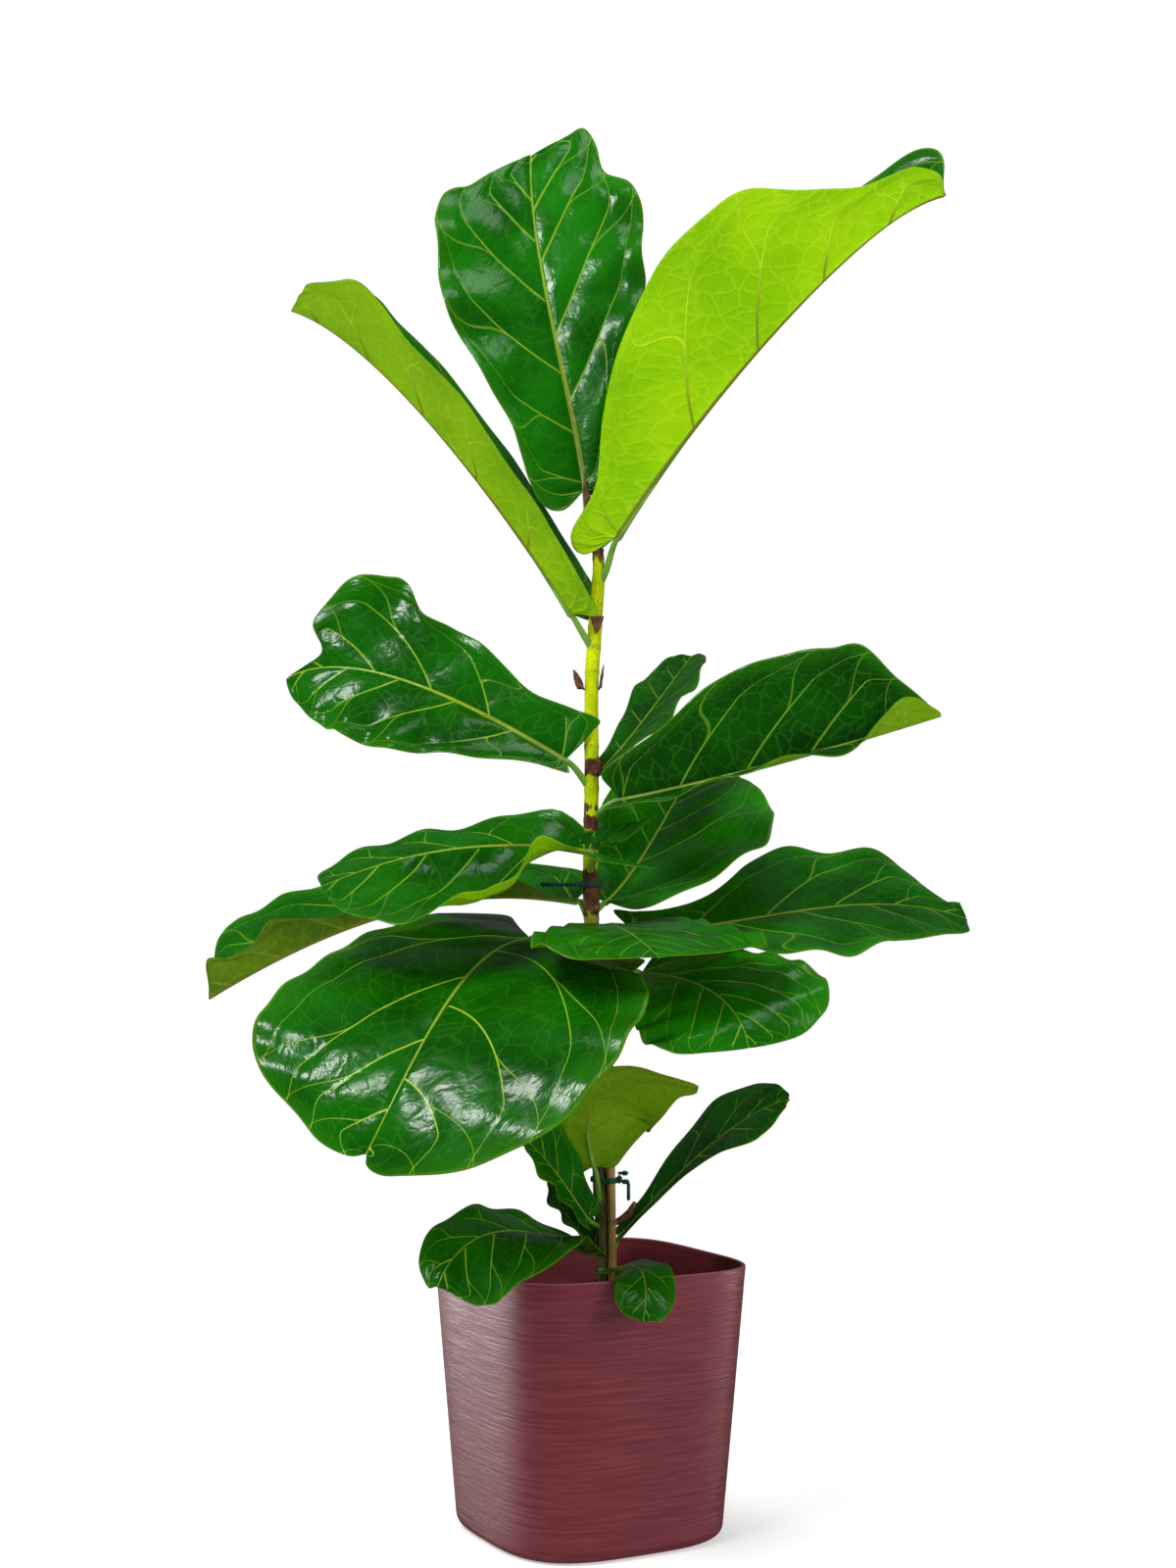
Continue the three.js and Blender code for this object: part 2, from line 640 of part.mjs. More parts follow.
/** A leaf's surface: place(s, t, side) gives the point a share t of the way from midrib to edge. */
class Leaf {
  constructor(form) {
    this.form = form;
    const shares = Array.from({ length: SPINE_STEPS + 1 }, (_, i) => i / SPINE_STEPS);
    this.points = shares.map((s) => cubic(form.spine, s));
    this.lengths = [0];
    for (let i = 1; i <= SPINE_STEPS; i += 1) {
      this.lengths.push(this.lengths[i - 1] + this.points[i].distanceTo(this.points[i - 1]));
    }
    this.length = this.lengths[SPINE_STEPS];
    const sweep = form.sweep ?? FIDDLE_SWEEP;
    this.halves = {
      "-1": {
        width: form.left,
        sweep,
        fold: form.foldLeft ?? form.fold,
        curl: form.curlLeft ?? [0],
        phase: LEFT_WAVE_PHASE,
      },
      1: {
        width: form.right,
        sweep: form.sweepRight ?? sweep,
        fold: form.foldRight ?? form.fold,
        curl: [0],
        phase: 0,
      },
    };
  }

  /** The midrib's point and direction a distance u from the base, straight on past either end. */
  spineAt(u) {
    const inside = THREE.MathUtils.clamp(u, 0, this.length);
    let i = this.lengths.findIndex((l) => l > inside);
    i = i < 1 ? SPINE_STEPS : i;
    const from = this.points[i - 1];
    const to = this.points[i];
    const direction = to.clone().sub(from).normalize();
    const share = (inside - this.lengths[i - 1]) / (this.lengths[i] - this.lengths[i - 1]);
    const point = from.clone().lerp(to, share).addScaledVector(direction, u - inside);
    return { point, direction };
  }

  /** The midrib's frame: the direction along it, its upper side, and its right. */
  frameAt(u) {
    const { point, direction } = this.spineAt(u);
    const q = THREE.MathUtils.clamp(u / this.length, 0, 1);
    const up = new THREE.Vector3(...[0, 1, 2].map((k) => along(this.form.face.map((f) => f[k]), q)));
    up.addScaledVector(direction, -up.dot(direction)).normalize();
    const right = direction.clone().cross(up);
    return { point, direction, up, right, q };
  }

  place(s, t, side) {
    const half = this.halves[side];
    const u = (s + along(half.sweep, s) * t ** SWEEP_POWER) * this.length;
    const r = Math.max(along(half.width, s), 0) * t;
    const reach = Math.max(...half.width);
    const { point, up, right, q } = this.frameAt(u);
    const fold = radians(along(half.fold, q));
    const bend = radians(along(half.curl, q));
    const curl = Math.abs(bend) < 1e-3 ? 1e-3 : bend;
    const angle = fold + (curl * r) / reach;
    const out = (reach / curl) * (Math.sin(angle) - Math.sin(fold));
    const rise = (-reach / curl) * (Math.cos(angle) - Math.cos(fold));
    const [height, count, start] = this.form.wave;
    const ripple = height * (r / reach) ** 2 * Math.sin(2 * Math.PI * (count * q + start + half.phase));
    const normal = right.clone().multiplyScalar(-side * Math.sin(angle));
    normal.addScaledVector(up, Math.cos(angle));
    const place = point.clone().addScaledVector(right, side * out).addScaledVector(up, rise);
    return { point: place.addScaledVector(normal, ripple), normal };
  }
}

/** The blade as a thin closed solid: the same triangles on its upper and its under side. */
function bladeSolid(leaf, lengthSteps, sideSteps) {
  const columns = [];
  for (let k = -sideSteps; k <= sideSteps; k += 1) {
    columns.push({ t: Math.abs(k) / sideSteps, side: k < 0 ? -1 : 1 });
  }
  const across = columns.length;
  const points = [];
  for (let level = -1; level <= 1; level += 2) {
    for (let i = 1; i < lengthSteps; i += 1) {
      for (const { t, side } of columns) {
        const { point, normal } = leaf.place(i / lengthSteps, t, side);
        const keel = t === 0 && level < 0 ? KEEL_DEPTH * (1 - i / lengthSteps) : 0;
        points.push(point.addScaledVector(normal, (level * BLADE_THICKNESS) / 2 - keel));
      }
    }
    for (const s of [0, 1]) {
      const { point, up } = leaf.frameAt(s * leaf.length);
      points.push(point.addScaledVector(up, (level * BLADE_THICKNESS) / 2));
    }
  }
  const sheet = (lengthSteps - 1) * across + 2;
  const at = (i, j, top) => {
    const base = top ? sheet : 0;
    if (i === 0) {
      return base + sheet - 2;
    }
    return i === lengthSteps ? base + sheet - 1 : base + (i - 1) * across + j;
  };
  const triangles = [];
  const skin = (a, b, c) => {
    if (new Set([at(...a, true), at(...b, true), at(...c, true)]).size === 3) {
      triangles.push([at(...a, true), at(...b, true), at(...c, true)]);
      triangles.push([at(...c, false), at(...b, false), at(...a, false)]);
    }
  };
  for (let i = 0; i < lengthSteps; i += 1) {
    for (let j = 0; j + 1 < across; j += 1) {
      if (j < sideSteps) {
        skin([i, j], [i, j + 1], [i + 1, j + 1]);
        skin([i, j], [i + 1, j + 1], [i + 1, j]);
      } else {
        skin([i, j], [i, j + 1], [i + 1, j]);
        skin([i, j + 1], [i + 1, j + 1], [i + 1, j]);
      }
    }
    triangles.push([at(i, 0, true), at(i + 1, 0, true), at(i + 1, 0, false)]);
    triangles.push([at(i, 0, true), at(i + 1, 0, false), at(i, 0, false)]);
    const edge = across - 1;
    triangles.push([at(i, edge, true), at(i, edge, false), at(i + 1, edge, false)]);
    triangles.push([at(i, edge, true), at(i + 1, edge, false), at(i + 1, edge, true)]);
  }
  return solidFromTriangles(points, triangles.filter((t) => new Set(t).size === 3));
}

/** The stalk from the stem to the blade, running on a little way under the midrib. */
function stalkSolid(leaf) {
  const [node, radius] = leaf.form.node;
  const base = leaf.frameAt(0);
  const root = stemAt(node).centre;
  const outward = base.point.clone().sub(root).setZ(0).normalize();
  root.addScaledVector(outward, STALK_SINK);
  const reach = root.distanceTo(base.point);
  const leave = outward.add(new THREE.Vector3(0, 0, 1)).multiplyScalar(STALK_RISE);
  const bend = new THREE.CubicBezierCurve3(
    root,
    root.clone().addScaledVector(leave, reach * STALK_BEND),
    base.point.clone().addScaledVector(base.direction, -reach * STALK_BEND),
    base.point,
  );
  const path = [];
  const radii = [];
  for (let i = 0; i < STALK_BEND_STEPS; i += 1) {
    const share = i / STALK_BEND_STEPS;
    path.push(bend.getPoint(share));
    radii.push(radius * mix(1, STALK_TAPER, share));
  }
  for (let i = 0; i <= STALK_TUCK_STEPS; i += 1) {
    const share = i / STALK_TUCK_STEPS;
    const { point, up } = leaf.frameAt(share * leaf.length * STALK_TUCK);
    const size = mix(radius * STALK_TAPER, BLADE_THICKNESS, share);
    path.push(point.addScaledVector(up, -size / 2));
    radii.push(size);
  }
  return limb(path, radii, STALK_SIDES);
}

function leafSolid(form, clearance) {
  const leaf = new Leaf(form);
  const steps = leaf.length > LARGE_BLADE ? LARGE_BLADE_STEPS : SMALL_BLADE_STEPS;
  return bladeSolid(leaf, ...steps).add(stalkSolid(leaf)).subtract(clearance);
}

// ---- The object ----

const object = new THREE.Group();
const plant = new THREE.Group();
plant.rotation.z = PLANT_TURN;
object.add(plant);

function addPiece(group, name, solid, color, roughness) {
  const material = new THREE.MeshStandardMaterial({ color, roughness, metalness: 0 });
  const mesh = new THREE.Mesh(toGeometry(solid), material);
  mesh.name = name;
  group.add(mesh);
}

const stemClearance = stemSolid(GAP);
const stakeClearance = stakeSolid(GAP);
const bud = limb(BUD_PATH.map(vec), BUD_RADII, STALK_SIDES);
const stub = limb(STUB_PATH.map(vec), STUB_RADII, STALK_SIDES);

const turn = new THREE.Matrix4().makeRotationZ(PLANT_TURN);
const crown = vec(STEM_PATH[1]).applyMatrix4(turn);
const holes = [stemClearance, stakeClearance].map((solid) => solid.transform(turn.elements));

addPiece(object, "pot", makePot(), 0x7d3a44, 0.55);
addPiece(object, "soil", makeSoil(crown, holes), 0x2e2018, 0.95);
addPiece(plant, "stem", stemSolid(0), 0x7a8a3a, 0.7);
addPiece(plant, "stake", stakeSolid(0), 0xc9a86a, 0.6);
addPiece(plant, "bud", bud.subtract(stemClearance), 0x4a2417, 0.7);
addPiece(plant, "stub", stub.subtract(stemClearance), 0x5a3a24, 0.8);
addPiece(plant, "tie_lower", lowerTie(), 0x14392b, 0.45);
addPiece(plant, "tie_upper", upperTie(), 0x14392b, 0.45);
for (const [name, form] of Object.entries(SCALES)) {
  addPiece(plant, name, scaleSolid(form), 0x4e2c1a, 0.85);
}
for (const [name, form] of Object.entries(LEAVES)) {
  addPiece(plant, name, leafSolid(form, stemClearance), 0x2f6b2a, 0.35);
}

export default object;
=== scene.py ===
import math
import random

import bmesh
import bpy
import numpy as np
from mathutils import Matrix, Vector, noise


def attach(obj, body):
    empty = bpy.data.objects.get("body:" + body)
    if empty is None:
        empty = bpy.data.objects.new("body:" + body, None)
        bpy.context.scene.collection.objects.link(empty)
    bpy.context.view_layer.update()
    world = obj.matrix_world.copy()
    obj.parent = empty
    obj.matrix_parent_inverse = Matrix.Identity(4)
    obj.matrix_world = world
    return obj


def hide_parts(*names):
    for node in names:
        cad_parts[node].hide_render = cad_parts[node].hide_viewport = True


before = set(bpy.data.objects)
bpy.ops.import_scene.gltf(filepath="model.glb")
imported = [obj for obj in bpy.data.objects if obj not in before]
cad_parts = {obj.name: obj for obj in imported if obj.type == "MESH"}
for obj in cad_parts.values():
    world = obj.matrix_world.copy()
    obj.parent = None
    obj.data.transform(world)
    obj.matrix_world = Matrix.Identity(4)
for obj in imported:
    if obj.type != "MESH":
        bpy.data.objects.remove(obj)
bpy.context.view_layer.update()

random.seed(7)

# Lengths are millimetres in the plant's own frame, x right, y back and z up, before its turn about
# the upright axis, as in the part's source. turned() gives metres in the row frame.
PLANT_TURN = math.radians(-28)

# How far a blade's edge lies ahead of the midrib at even steps, as shares of the leaf's length.
FIDDLE_SWEEP = [0, -0.15, -0.05, 0.05, 0.12, 0.16, 0.16, 0.11, 0]

# Each leaf has the four points of its midrib, the way its upper side faces along it, its half widths
# at even steps, how far its halves fold up and curl on in degrees, its wave's height, count and
# start, and its stalk's height on the stem with its radius. Some have their own sweep, tones and
# vein plan, by side, right 1 and left -1.
LEAVES = {
    "leaf_01": dict(
        spine=[[-3, 12, 861], [-20, 28, 959], [-42, 48, 1073], [-51, 75, 1179]], face=[[0.05, -1, 0.2]],
        left=[0, 23, 45, 53, 58, 70, 83, 92, 94, 89, 89, 81, 70, 52, 27, 4, 0],
        right=[0, 8, 14, 22, 33, 53, 71, 86, 90, 94, 95, 86, 67, 59, 46, 30, 0], fold=[18, 12, 8],
        wave=[4, 5, 0.1], node=[824, 2.8], tones=(0.9, 0.5, 0.5),
        sweep=[0, -0.126, -0.151, -0.083, -0.033, 0.011, 0.072, 0.09, 0.12, 0.152, 0.164, 0.162, 0.132,
               0.083, 0.073, 0.056, 0],
        sweepRight=[0, -0.086, -0.111, -0.099, -0.042, 0.013, 0.055, 0.087, 0.12, 0.153, 0.174, 0.187,
                    0.179, 0.207, 0.21, 0.119, 0],
        starts={1: [0, 0, 0.02, 0.25, 0.44, 0.66, 0.82, 0.98, 1.1, 1.3],
                -1: [0, 0, 0.02, 0.16, 0.33, 0.54, 0.72, 0.85, 1.0, 1.2]},
        angles={1: [-55, -10, 30, 52, 56, 58, 60, 60, 60, 62],
                -1: [-55, -18, 10, 32, 40, 46, 50, 54, 58, 62]},
        curve=1.2,
    ),
    "leaf_02": dict(
        spine=[[25, -10, 816], [102, -25, 921], [206, -45, 1034], [295, -70, 1089]],
        face=[[-0.7, 0.35, 0.62]], left=[0, 36, 62, 80, 78, 70, 58, 52, 0],
        right=[0, 16, 35, 39, 68, 92, 106, 112, 108, 98, 66, 42, 34, 30, 22, 12, 0], foldLeft=[45, 55, 75],
        foldRight=[68, 66, 60], wave=[5, 3, 0], node=[781, 3.2], tones=(0.5, 0.95, 0.6),
        sweepRight=[0, -0.128, -0.172, -0.126, -0.063, 0.002, 0.05, 0.089, 0.12, 0.144, 0.16, 0.166, 0.16,
                    0.142, 0.11, 0.059, 0],
    ),
    "leaf_03": dict(
        spine=[[-14, -14, 750], [-88, -40, 854], [-168, -70, 941], [-239, -95, 985]],
        face=[[0.6, 0.45, 0.66]], left=[0, 20, 28, 34, 38, 45, 52, 53, 55, 60, 60, 62, 62, 48, 37, 27, 0],
        right=[0, 29, 56, 64, 70, 70, 74, 80, 80, 82, 88, 108, 82, 56, 34, 10, 0], foldLeft=[10, 0, 6],
        foldRight=[60, 62, 60], wave=[4, 3, 0.2], node=[724, 3.2], tones=(0.5, 0.75, 0.6),
        sweepRight=[0, -0.104, -0.152, -0.131, -0.05, 0.002, 0.05, 0.089, 0.12, 0.144, 0.16, 0.166, 0.16,
                    0.142, 0.11, 0.059, 0],
    ),
    "leaf_04": dict(
        spine=[[-19, -8, 628], [-84, 6, 666], [-178, 30, 706], [-262, 52, 704]], face=[[0.1, -1, 0.25]],
        left=[0, 6, 10, 18, 35, 49, 60, 70, 69, 68, 65, 60, 57, 50, 36, 22, 0],
        right=[0, 30, 44, 41, 36, 45, 55, 58, 62, 86, 86, 82, 68, 42, 15, 4, 0], fold=[12, 8, 5],
        wave=[5, 5, 0.3], node=[606, 3.2], tones=(0.4, 0.5, 0.5),
        sweep=[0, -0.091, -0.15, -0.116, -0.05, 0.003, 0.05, 0.081, 0.1, 0.106, 0.1, 0.085, 0.08, 0.088,
               0.1, 0.065, 0],
        sweepRight=[0, -0.091, -0.15, -0.116, -0.05, 0.003, 0.05, 0.081, 0.115, 0.126, 0.111, 0.109, 0.095,
                    0.084, -0.003, -0.008, 0],
    ),
    "leaf_05": dict(
        spine=[[26, -12, 594], [109, -35, 611], [189, -60, 631], [284, -80, 657]], face=[[0, -1, 0.2]],
        left=[0, 20, 36, 55, 77, 84, 84, 78, 74, 40, 14, 3, 0],
        right=[0, 20, 34, 46, 50, 50, 48, 40, 30, 32, 14, 4, 0], foldLeft=[15, 12, 10],
        foldRight=[64, 66, 69, 74, 76, 74, 68, 112, 150], wave=[3, 4, 0], node=[578, 3.2],
        tones=(0.0, 0.45, 0.35),
    ),
    "leaf_06": dict(
        spine=[[9, 10, 619], [38, 50, 655], [67, 100, 697], [95, 150, 738]], face=[[-0.35, -0.55, 0.7]],
        left=[0, 8, 12, 20, 26, 27, 20, 11, 0], right=[0, 26, 46, 48, 42, 36, 24, 10, 0], fold=[25, 18, 15],
        wave=[4, 3, 0], node=[604, 2.8], tones=(0.4, 0.5, 0.3),
    ),
    "leaf_07": dict(
        spine=[[15, 8, 510], [45, 45, 547], [73, 95, 594], [95, 150, 629]], face=[[0, -0.6, 0.8]],
        left=[0, 20, 40, 52, 56, 54, 44, 30, 0], right=[0, 44, 82, 106, 100, 76, 54, 38, 0],
        fold=[20, 15, 12], wave=[4, 4, 0], node=[500, 3.2], tones=(0.6, 0.3, 0.25),
    ),
    "leaf_08": dict(
        spine=[[0, -30, 551], [-68, -50, 555], [-137, -75, 546], [-211, -95, 520]], face=[[0, -0.35, 0.95]],
        left=[0, 26, 48, 52, 52, 72, 94, 106, 107, 97, 88, 78, 66, 55, 43, 26, 0],
        right=[0, 20, 34, 8, 36, 38, 38, 39, 40, 40, 39, 38, 37, 34, 30, 19, 0],
        foldLeft=[3, 8, -38, -62, -62, -55, -32, -18, -12], foldRight=[62, 14, 4, 0],
        curlLeft=[20, 40, 190, 146, 116, 108, 45, 5, -10], wave=[3, 4, 0], node=[534, 3.2],
        tones=(0.45, 1.1, 0.45), sweep=[0, -0.34, -0.13, 0.02, 0.1, 0.14, 0.14, 0.1, 0],
    ),
    "leaf_09": dict(
        spine=[[-10, 4, 511], [-109, 15, 512], [-212, 30, 485], [-325, 50, 428]],
        face=[[-0.1, -0.1, 1], [-0.1, 0.3, 0.95]], left=[0, 30, 34, 32, 24, 18, 14, 22, 33, 22, 22, 30, 0],
        right=[0, 40, 56, 62, 68, 72, 76, 78, 83, 82, 92, 68, 0], foldLeft=[10, 50, 80],
        foldRight=[20, 45, 60], wave=[4, 4, 0.2], node=[496, 3.2], tones=(0.4, 0, 0.3),
        sweep=[0, -0.15, -0.05, 0.05, 0.1, 0.1, 0.08, 0.06, 0],
    ),
    "leaf_10": dict(
        spine=[[-47, -45, 480], [-91, -105, 454], [-127, -165, 396], [-163, -195, 321]],
        face=[[-0.1, -0.6, 0.8], [-0.2, -0.85, 0.5]],
        left=[0, 70, 98, 131, 154, 155, 147, 127, 90, 46, 21, 6, 0],
        right=[0, 62, 96, 116, 120, 130, 137, 129, 109, 70, 40, 14, 0], foldLeft=[8, 4, 2],
        foldRight=[-12, 0, 2], wave=[2, 6, 0], node=[462, 3.6], tones=(0.42, 0.3, 1.0),
        sweep=[0, -0.3, -0.12, 0.04, 0.15, 0.22, 0.24, 0.16, 0],
        starts={1: [-0.4, -0.04, 0.03, 0.34, 0.62, 0.86, 1.05, 1.2, 1.4, 1.6],
                -1: [-0.4, -0.06, 0.0, 0.17, 0.48, 0.76, 0.98, 1.15, 1.3, 1.5]},
        angles={1: [-75, -45, 5, 36, 38, 40, 42, 45, 50, 55],
                -1: [-80, -62, -38, -14, 2, 12, 20, 28, 35, 40]},
        curve=2.5,
    ),
    "leaf_11": dict(
        spine=[[21, -35, 490], [31, -85, 485], [41, -135, 477], [53, -180, 465]], face=[[0, -0.15, 1]],
        left=[0, 54, 66, 76, 90, 96, 88, 62, 0], right=[0, 28, 50, 70, 84, 84, 68, 42, 0], fold=[4, 2, 0],
        wave=[4, 4, 0], node=[466, 3.2], tones=(0.85, 0.3, 0.4),
    ),
    "leaf_12": dict(
        spine=[[33, -4, 489], [124, 12, 494], [223, 30, 508], [325, 50, 497]], face=[[0, -0.5, 0.87]],
        left=[0, 20, 24, 34, 60, 98, 91, 92, 82, 30, 18, 24, 0],
        right=[0, 30, 50, 66, 80, 92, 84, 68, 62, 44, 34, 22, 0], foldLeft=[6, 4, 2], foldRight=[22, 6, 2],
        wave=[4, 5, 0], node=[484, 3.2], tones=(0.5, 0.3, 0.35),
    ),
    "leaf_13": dict(
        spine=[[44, -40, 452], [79, -80, 446], [107, -125, 429], [122, -150, 396]],
        face=[[0.15, -0.6, 0.8], [0.1, -0.9, 0.4]], left=[0, 30, 50, 64, 76, 80, 66, 38, 0],
        right=[0, 40, 56, 66, 74, 76, 66, 46, 0], fold=[4, 2, 0], wave=[3, 6, 0], node=[436, 3],
        tones=(1.15, 0.3, 0.6),
    ),
    "leaf_14": dict(
        spine=[[5, -18, 293], [1, -31, 334], [25, -42, 362], [89, -50, 358]], face=[[0, 0.9, 0.4]],
        left=[0, 20, 50, 58, 60, 44, 14, 6, 0], right=[0, 22, 28, 20, 13, 6, 4, 3, 0], foldLeft=[6, 15, 10],
        foldRight=[20, 15, 10], wave=[2, 3, 0], node=[261, 2.8], tones=(0.5, 0.25, 0.5),
    ),
    "leaf_15": dict(
        spine=[[28, 5, 236], [70, -10, 282], [117, -35, 326], [161, -62, 351]], face=[[-0.5, -0.45, 0.7]],
        left=[0, 8, 14, 32, 43, 40, 24, 8, 0], right=[0, 6, 8, 12, 20, 36, 28, 12, 0], fold=[12, 5, 0],
        wave=[2, 3, 0], node=[214, 2.4],
    ),
    "leaf_16": dict(
        spine=[[0, -12, 250], [-16, -26, 275], [-34, -44, 301], [-54, -62, 322]], face=[[0.5, -0.5, 0.6]],
        left=[0, 14, 21, 26, 30, 30, 27, 18, 0], right=[0, 12, 17, 24, 30, 30, 27, 18, 0],
        foldLeft=[12, 10, 10], foldRight=[40, 35, 30], wave=[3, 3, 0], node=[240, 2.4],
    ),
    "leaf_17": dict(
        spine=[[3, 10, 222], [-12, 12, 242], [-25, 12, 262], [-33, 10, 282]], face=[[0.7, -0.3, 0.5]],
        left=[0, 10, 17, 25, 31, 31, 28, 20, 0], right=[0, 17, 19, 22, 27, 28, 26, 20, 0],
        foldLeft=[25, 15, 10], foldRight=[40, 35, 30], wave=[3, 3, 0], node=[212, 2],
    ),
    "leaf_18": dict(
        spine=[[0, -12, 223], [-41, -54, 244], [-83, -107, 249], [-114, -143, 216]],
        face=[[-0.1, -0.4, 0.9], [-0.2, -0.7, 0.7], [-0.4, -0.8, 0.5]],
        left=[0, 18, 36, 56, 51, 50, 48, 36, 0], right=[0, 10, 24, 33, 34, 32, 26, 9, 0],
        foldLeft=[24, 24, -8, -25], foldRight=[10, 6, 4], curlLeft=[0, 0, -20, -50], wave=[3, 4, 0],
        node=[218, 2.4], tones=(0.5, 0.3, 0.7), sweep=[0, -0.15, -0.05, 0.05, 0.12, 0.16, 0.16, 0.13, 0],
    ),
    "leaf_19": dict(
        spine=[[11, -22, 210], [29, -62, 220], [42, -104, 221], [42, -138, 190]],
        face=[[0.1, -0.6, 0.8], [0.1, -0.95, 0.3]], left=[0, 8, 14, 19, 23, 24, 20, 13, 0],
        right=[0, 8, 12, 16, 22, 24, 22, 15, 0], foldLeft=[-10, -8, 0], foldRight=[0, -2, 0],
        wave=[2, 3, 0], node=[205, 2],
    ),
}

LEFT_WAVE_PHASE = 0.37
BLADE_THICKNESS = 0.7

# The side veins by number: where on the midrib each starts, as a share of the leaf's length, and
# its angle there, in degrees ahead of square to the midrib. Those below 0 fan out of the base.
VEIN_NUMBERS = [-2, -1, 0, 1, 2, 3, 4, 5, 6, 7]
VEIN_STARTS = [0, 0, 0.01, 0.19, 0.4, 0.6, 0.78, 0.93, 1.1, 1.3]
VEIN_ANGLES = [-55, -18, 18, 38, 44, 48, 51, 54, 58, 62]
VEIN_STAGGER = 0.09
VEIN_CURVE = 1.5
# How light a leaf's upper side, its under side and its veins are, from 0 to about 1.
# The two side tones are partly each leaf's own colour and partly painted light and shade,
# set leaf by leaf.
USUAL_TONES = (0.5, 0.3, 0.5)
# The direction that the side veins mostly take, as shares along the midrib and away from it.
NET_FORWARD = 0.77
NET_OUTWARD = 0.64

STEM_PATH = [
    [14, 0, 150], [15, 0, 203], [14, 0, 228], [11, 0, 269], [7, 0, 364], [5, 0, 445], [2, 0, 526],
    [3, 0, 609], [3, 0, 691], [6, 0, 741], [9, 0, 787], [7, 2, 816], [1, 4, 840],
]
STEM_RADII = [7, 7.2, 7, 6.6, 6.3, 6.2, 6.2, 6, 5.8, 5.8, 5.2, 4.4, 3.2]


# ---- Curves and frames ----

def along(values, q):
    """A smooth value through evenly spaced numbers or points, at shares q from 0 to 1."""
    v = np.asarray(values, float)
    last = len(v) - 1
    q = np.asarray(q, float)
    if last == 0:
        return np.broadcast_to(v[0], q.shape + v.shape[1:])
    padded = np.concatenate([[2 * v[0] - v[1]], v, [2 * v[last] - v[last - 1]]])
    x = np.clip(q, 0, 1) * last
    i = np.minimum(x.astype(int), last - 1)
    f = x - i
    if v.ndim > 1:
        f = f[..., None]
    a, b, c, d = padded[i], padded[i + 1], padded[i + 2], padded[i + 3]
    return 0.5 * (2 * b + (c - a) * f + (2 * a - 5 * b + 4 * c - d) * f ** 2
                  + (3 * b - a - 3 * c + d) * f ** 3)


def unit(v):
    return v / np.linalg.norm(v, axis=-1, keepdims=True)


def smooth(x, low, high):
    y = np.clip((x - low) / (high - low), 0, 1)
    return y * y * (3 - 2 * y)


def sample(x, places, points):
    """The point at each x on a line through points at those places."""
    return np.stack([np.interp(x, places, column) for column in points.T], -1)


def circle(sides):
    return np.arange(sides) * 2 * np.pi / sides


def turned(points):
    """Plant frame in millimetres to row frame in metres."""
    c, s = math.cos(PLANT_TURN), math.sin(PLANT_TURN)
    p = np.asarray(points, float) / 1000
    return np.stack([p[..., 0] * c - p[..., 1] * s, p[..., 0] * s + p[..., 1] * c, p[..., 2]], -1)


class Leaf:
    """A leaf's surface, from its flattened place (u along the midrib, v across) to the plant frame."""

    def __init__(self, form):
        self.form = form
        a, b, c, d = (np.asarray(p, float) for p in form["spine"])
        x = 3 * np.linspace(0, 1, 121)[:, None]
        # The cubic through the four points at even steps.
        self.midrib = (-(x - 1) * (x - 2) * (x - 3) / 6 * a + x * (x - 2) * (x - 3) / 2 * b
                       - x * (x - 1) * (x - 3) / 2 * c + x * (x - 1) * (x - 2) / 6 * d)
        steps = np.linalg.norm(np.diff(self.midrib, axis=0), axis=1)
        self.lengths = np.concatenate([[0], np.cumsum(steps)])
        self.length = self.lengths[-1]
        self.tangents = unit(np.gradient(self.midrib, self.lengths, axis=0))
        self.width = {1: form["right"], -1: form["left"]}
        fold = form.get("fold")
        self.fold = {1: form.get("foldRight", fold), -1: form.get("foldLeft", fold)}
        self.curl = {1: [0], -1: form.get("curlLeft", [0])}
        sweep = form.get("sweep", FIDDLE_SWEEP)
        self.sweep = {1: form.get("sweepRight", sweep), -1: sweep}
        self.reach = max(form["left"] + form["right"])

    def flat(self, s, t, side):
        """The flattened place a share t of the way from the midrib's share s to the edge."""
        sweep = along(self.sweep[side], s)
        width = np.maximum(along(self.width[side], s), 0)
        return (s + sweep * t ** 1.3) * self.length, side * width * t

    def frame(self, u):
        """The midrib's point and directions at lengths u along it, and u as a share of its length."""
        u = np.asarray(u, float)
        inside = np.clip(u, 0, self.length)
        tangent = unit(sample(inside, self.lengths, self.tangents))
        point = sample(inside, self.lengths, self.midrib) + tangent * (u - inside)[..., None]
        q = inside / self.length
        up = along(self.form["face"], q)
        up = unit(up - (up * tangent).sum(-1, keepdims=True) * tangent)
        return point, tangent, up, np.cross(tangent, up), q

    def place(self, u, v, side, lift):
        point, _, up, right, q = self.frame(u)
        width = max(self.width[side])
        share = np.abs(v) / width
        fold = np.radians(along(self.fold[side], q))
        bend = np.radians(along(self.curl[side], q))
        bend = np.where(np.abs(bend) < 1e-3, 1e-3, bend)
        angle = fold + bend * share
        out = width / bend * (np.sin(angle) - np.sin(fold))
        rise = -width / bend * (np.cos(angle) - np.cos(fold))
        height, count, start = self.form["wave"]
        phase = start + (LEFT_WAVE_PHASE if side < 0 else 0)
        ripple = height * share ** 2 * np.sin(2 * np.pi * (count * q + phase))
        normal = -side * np.sin(angle)[..., None] * right + np.cos(angle)[..., None] * up
        offset = (ripple + lift)[..., None] * normal
        return point + (side * out)[..., None] * right + rise[..., None] * up + offset


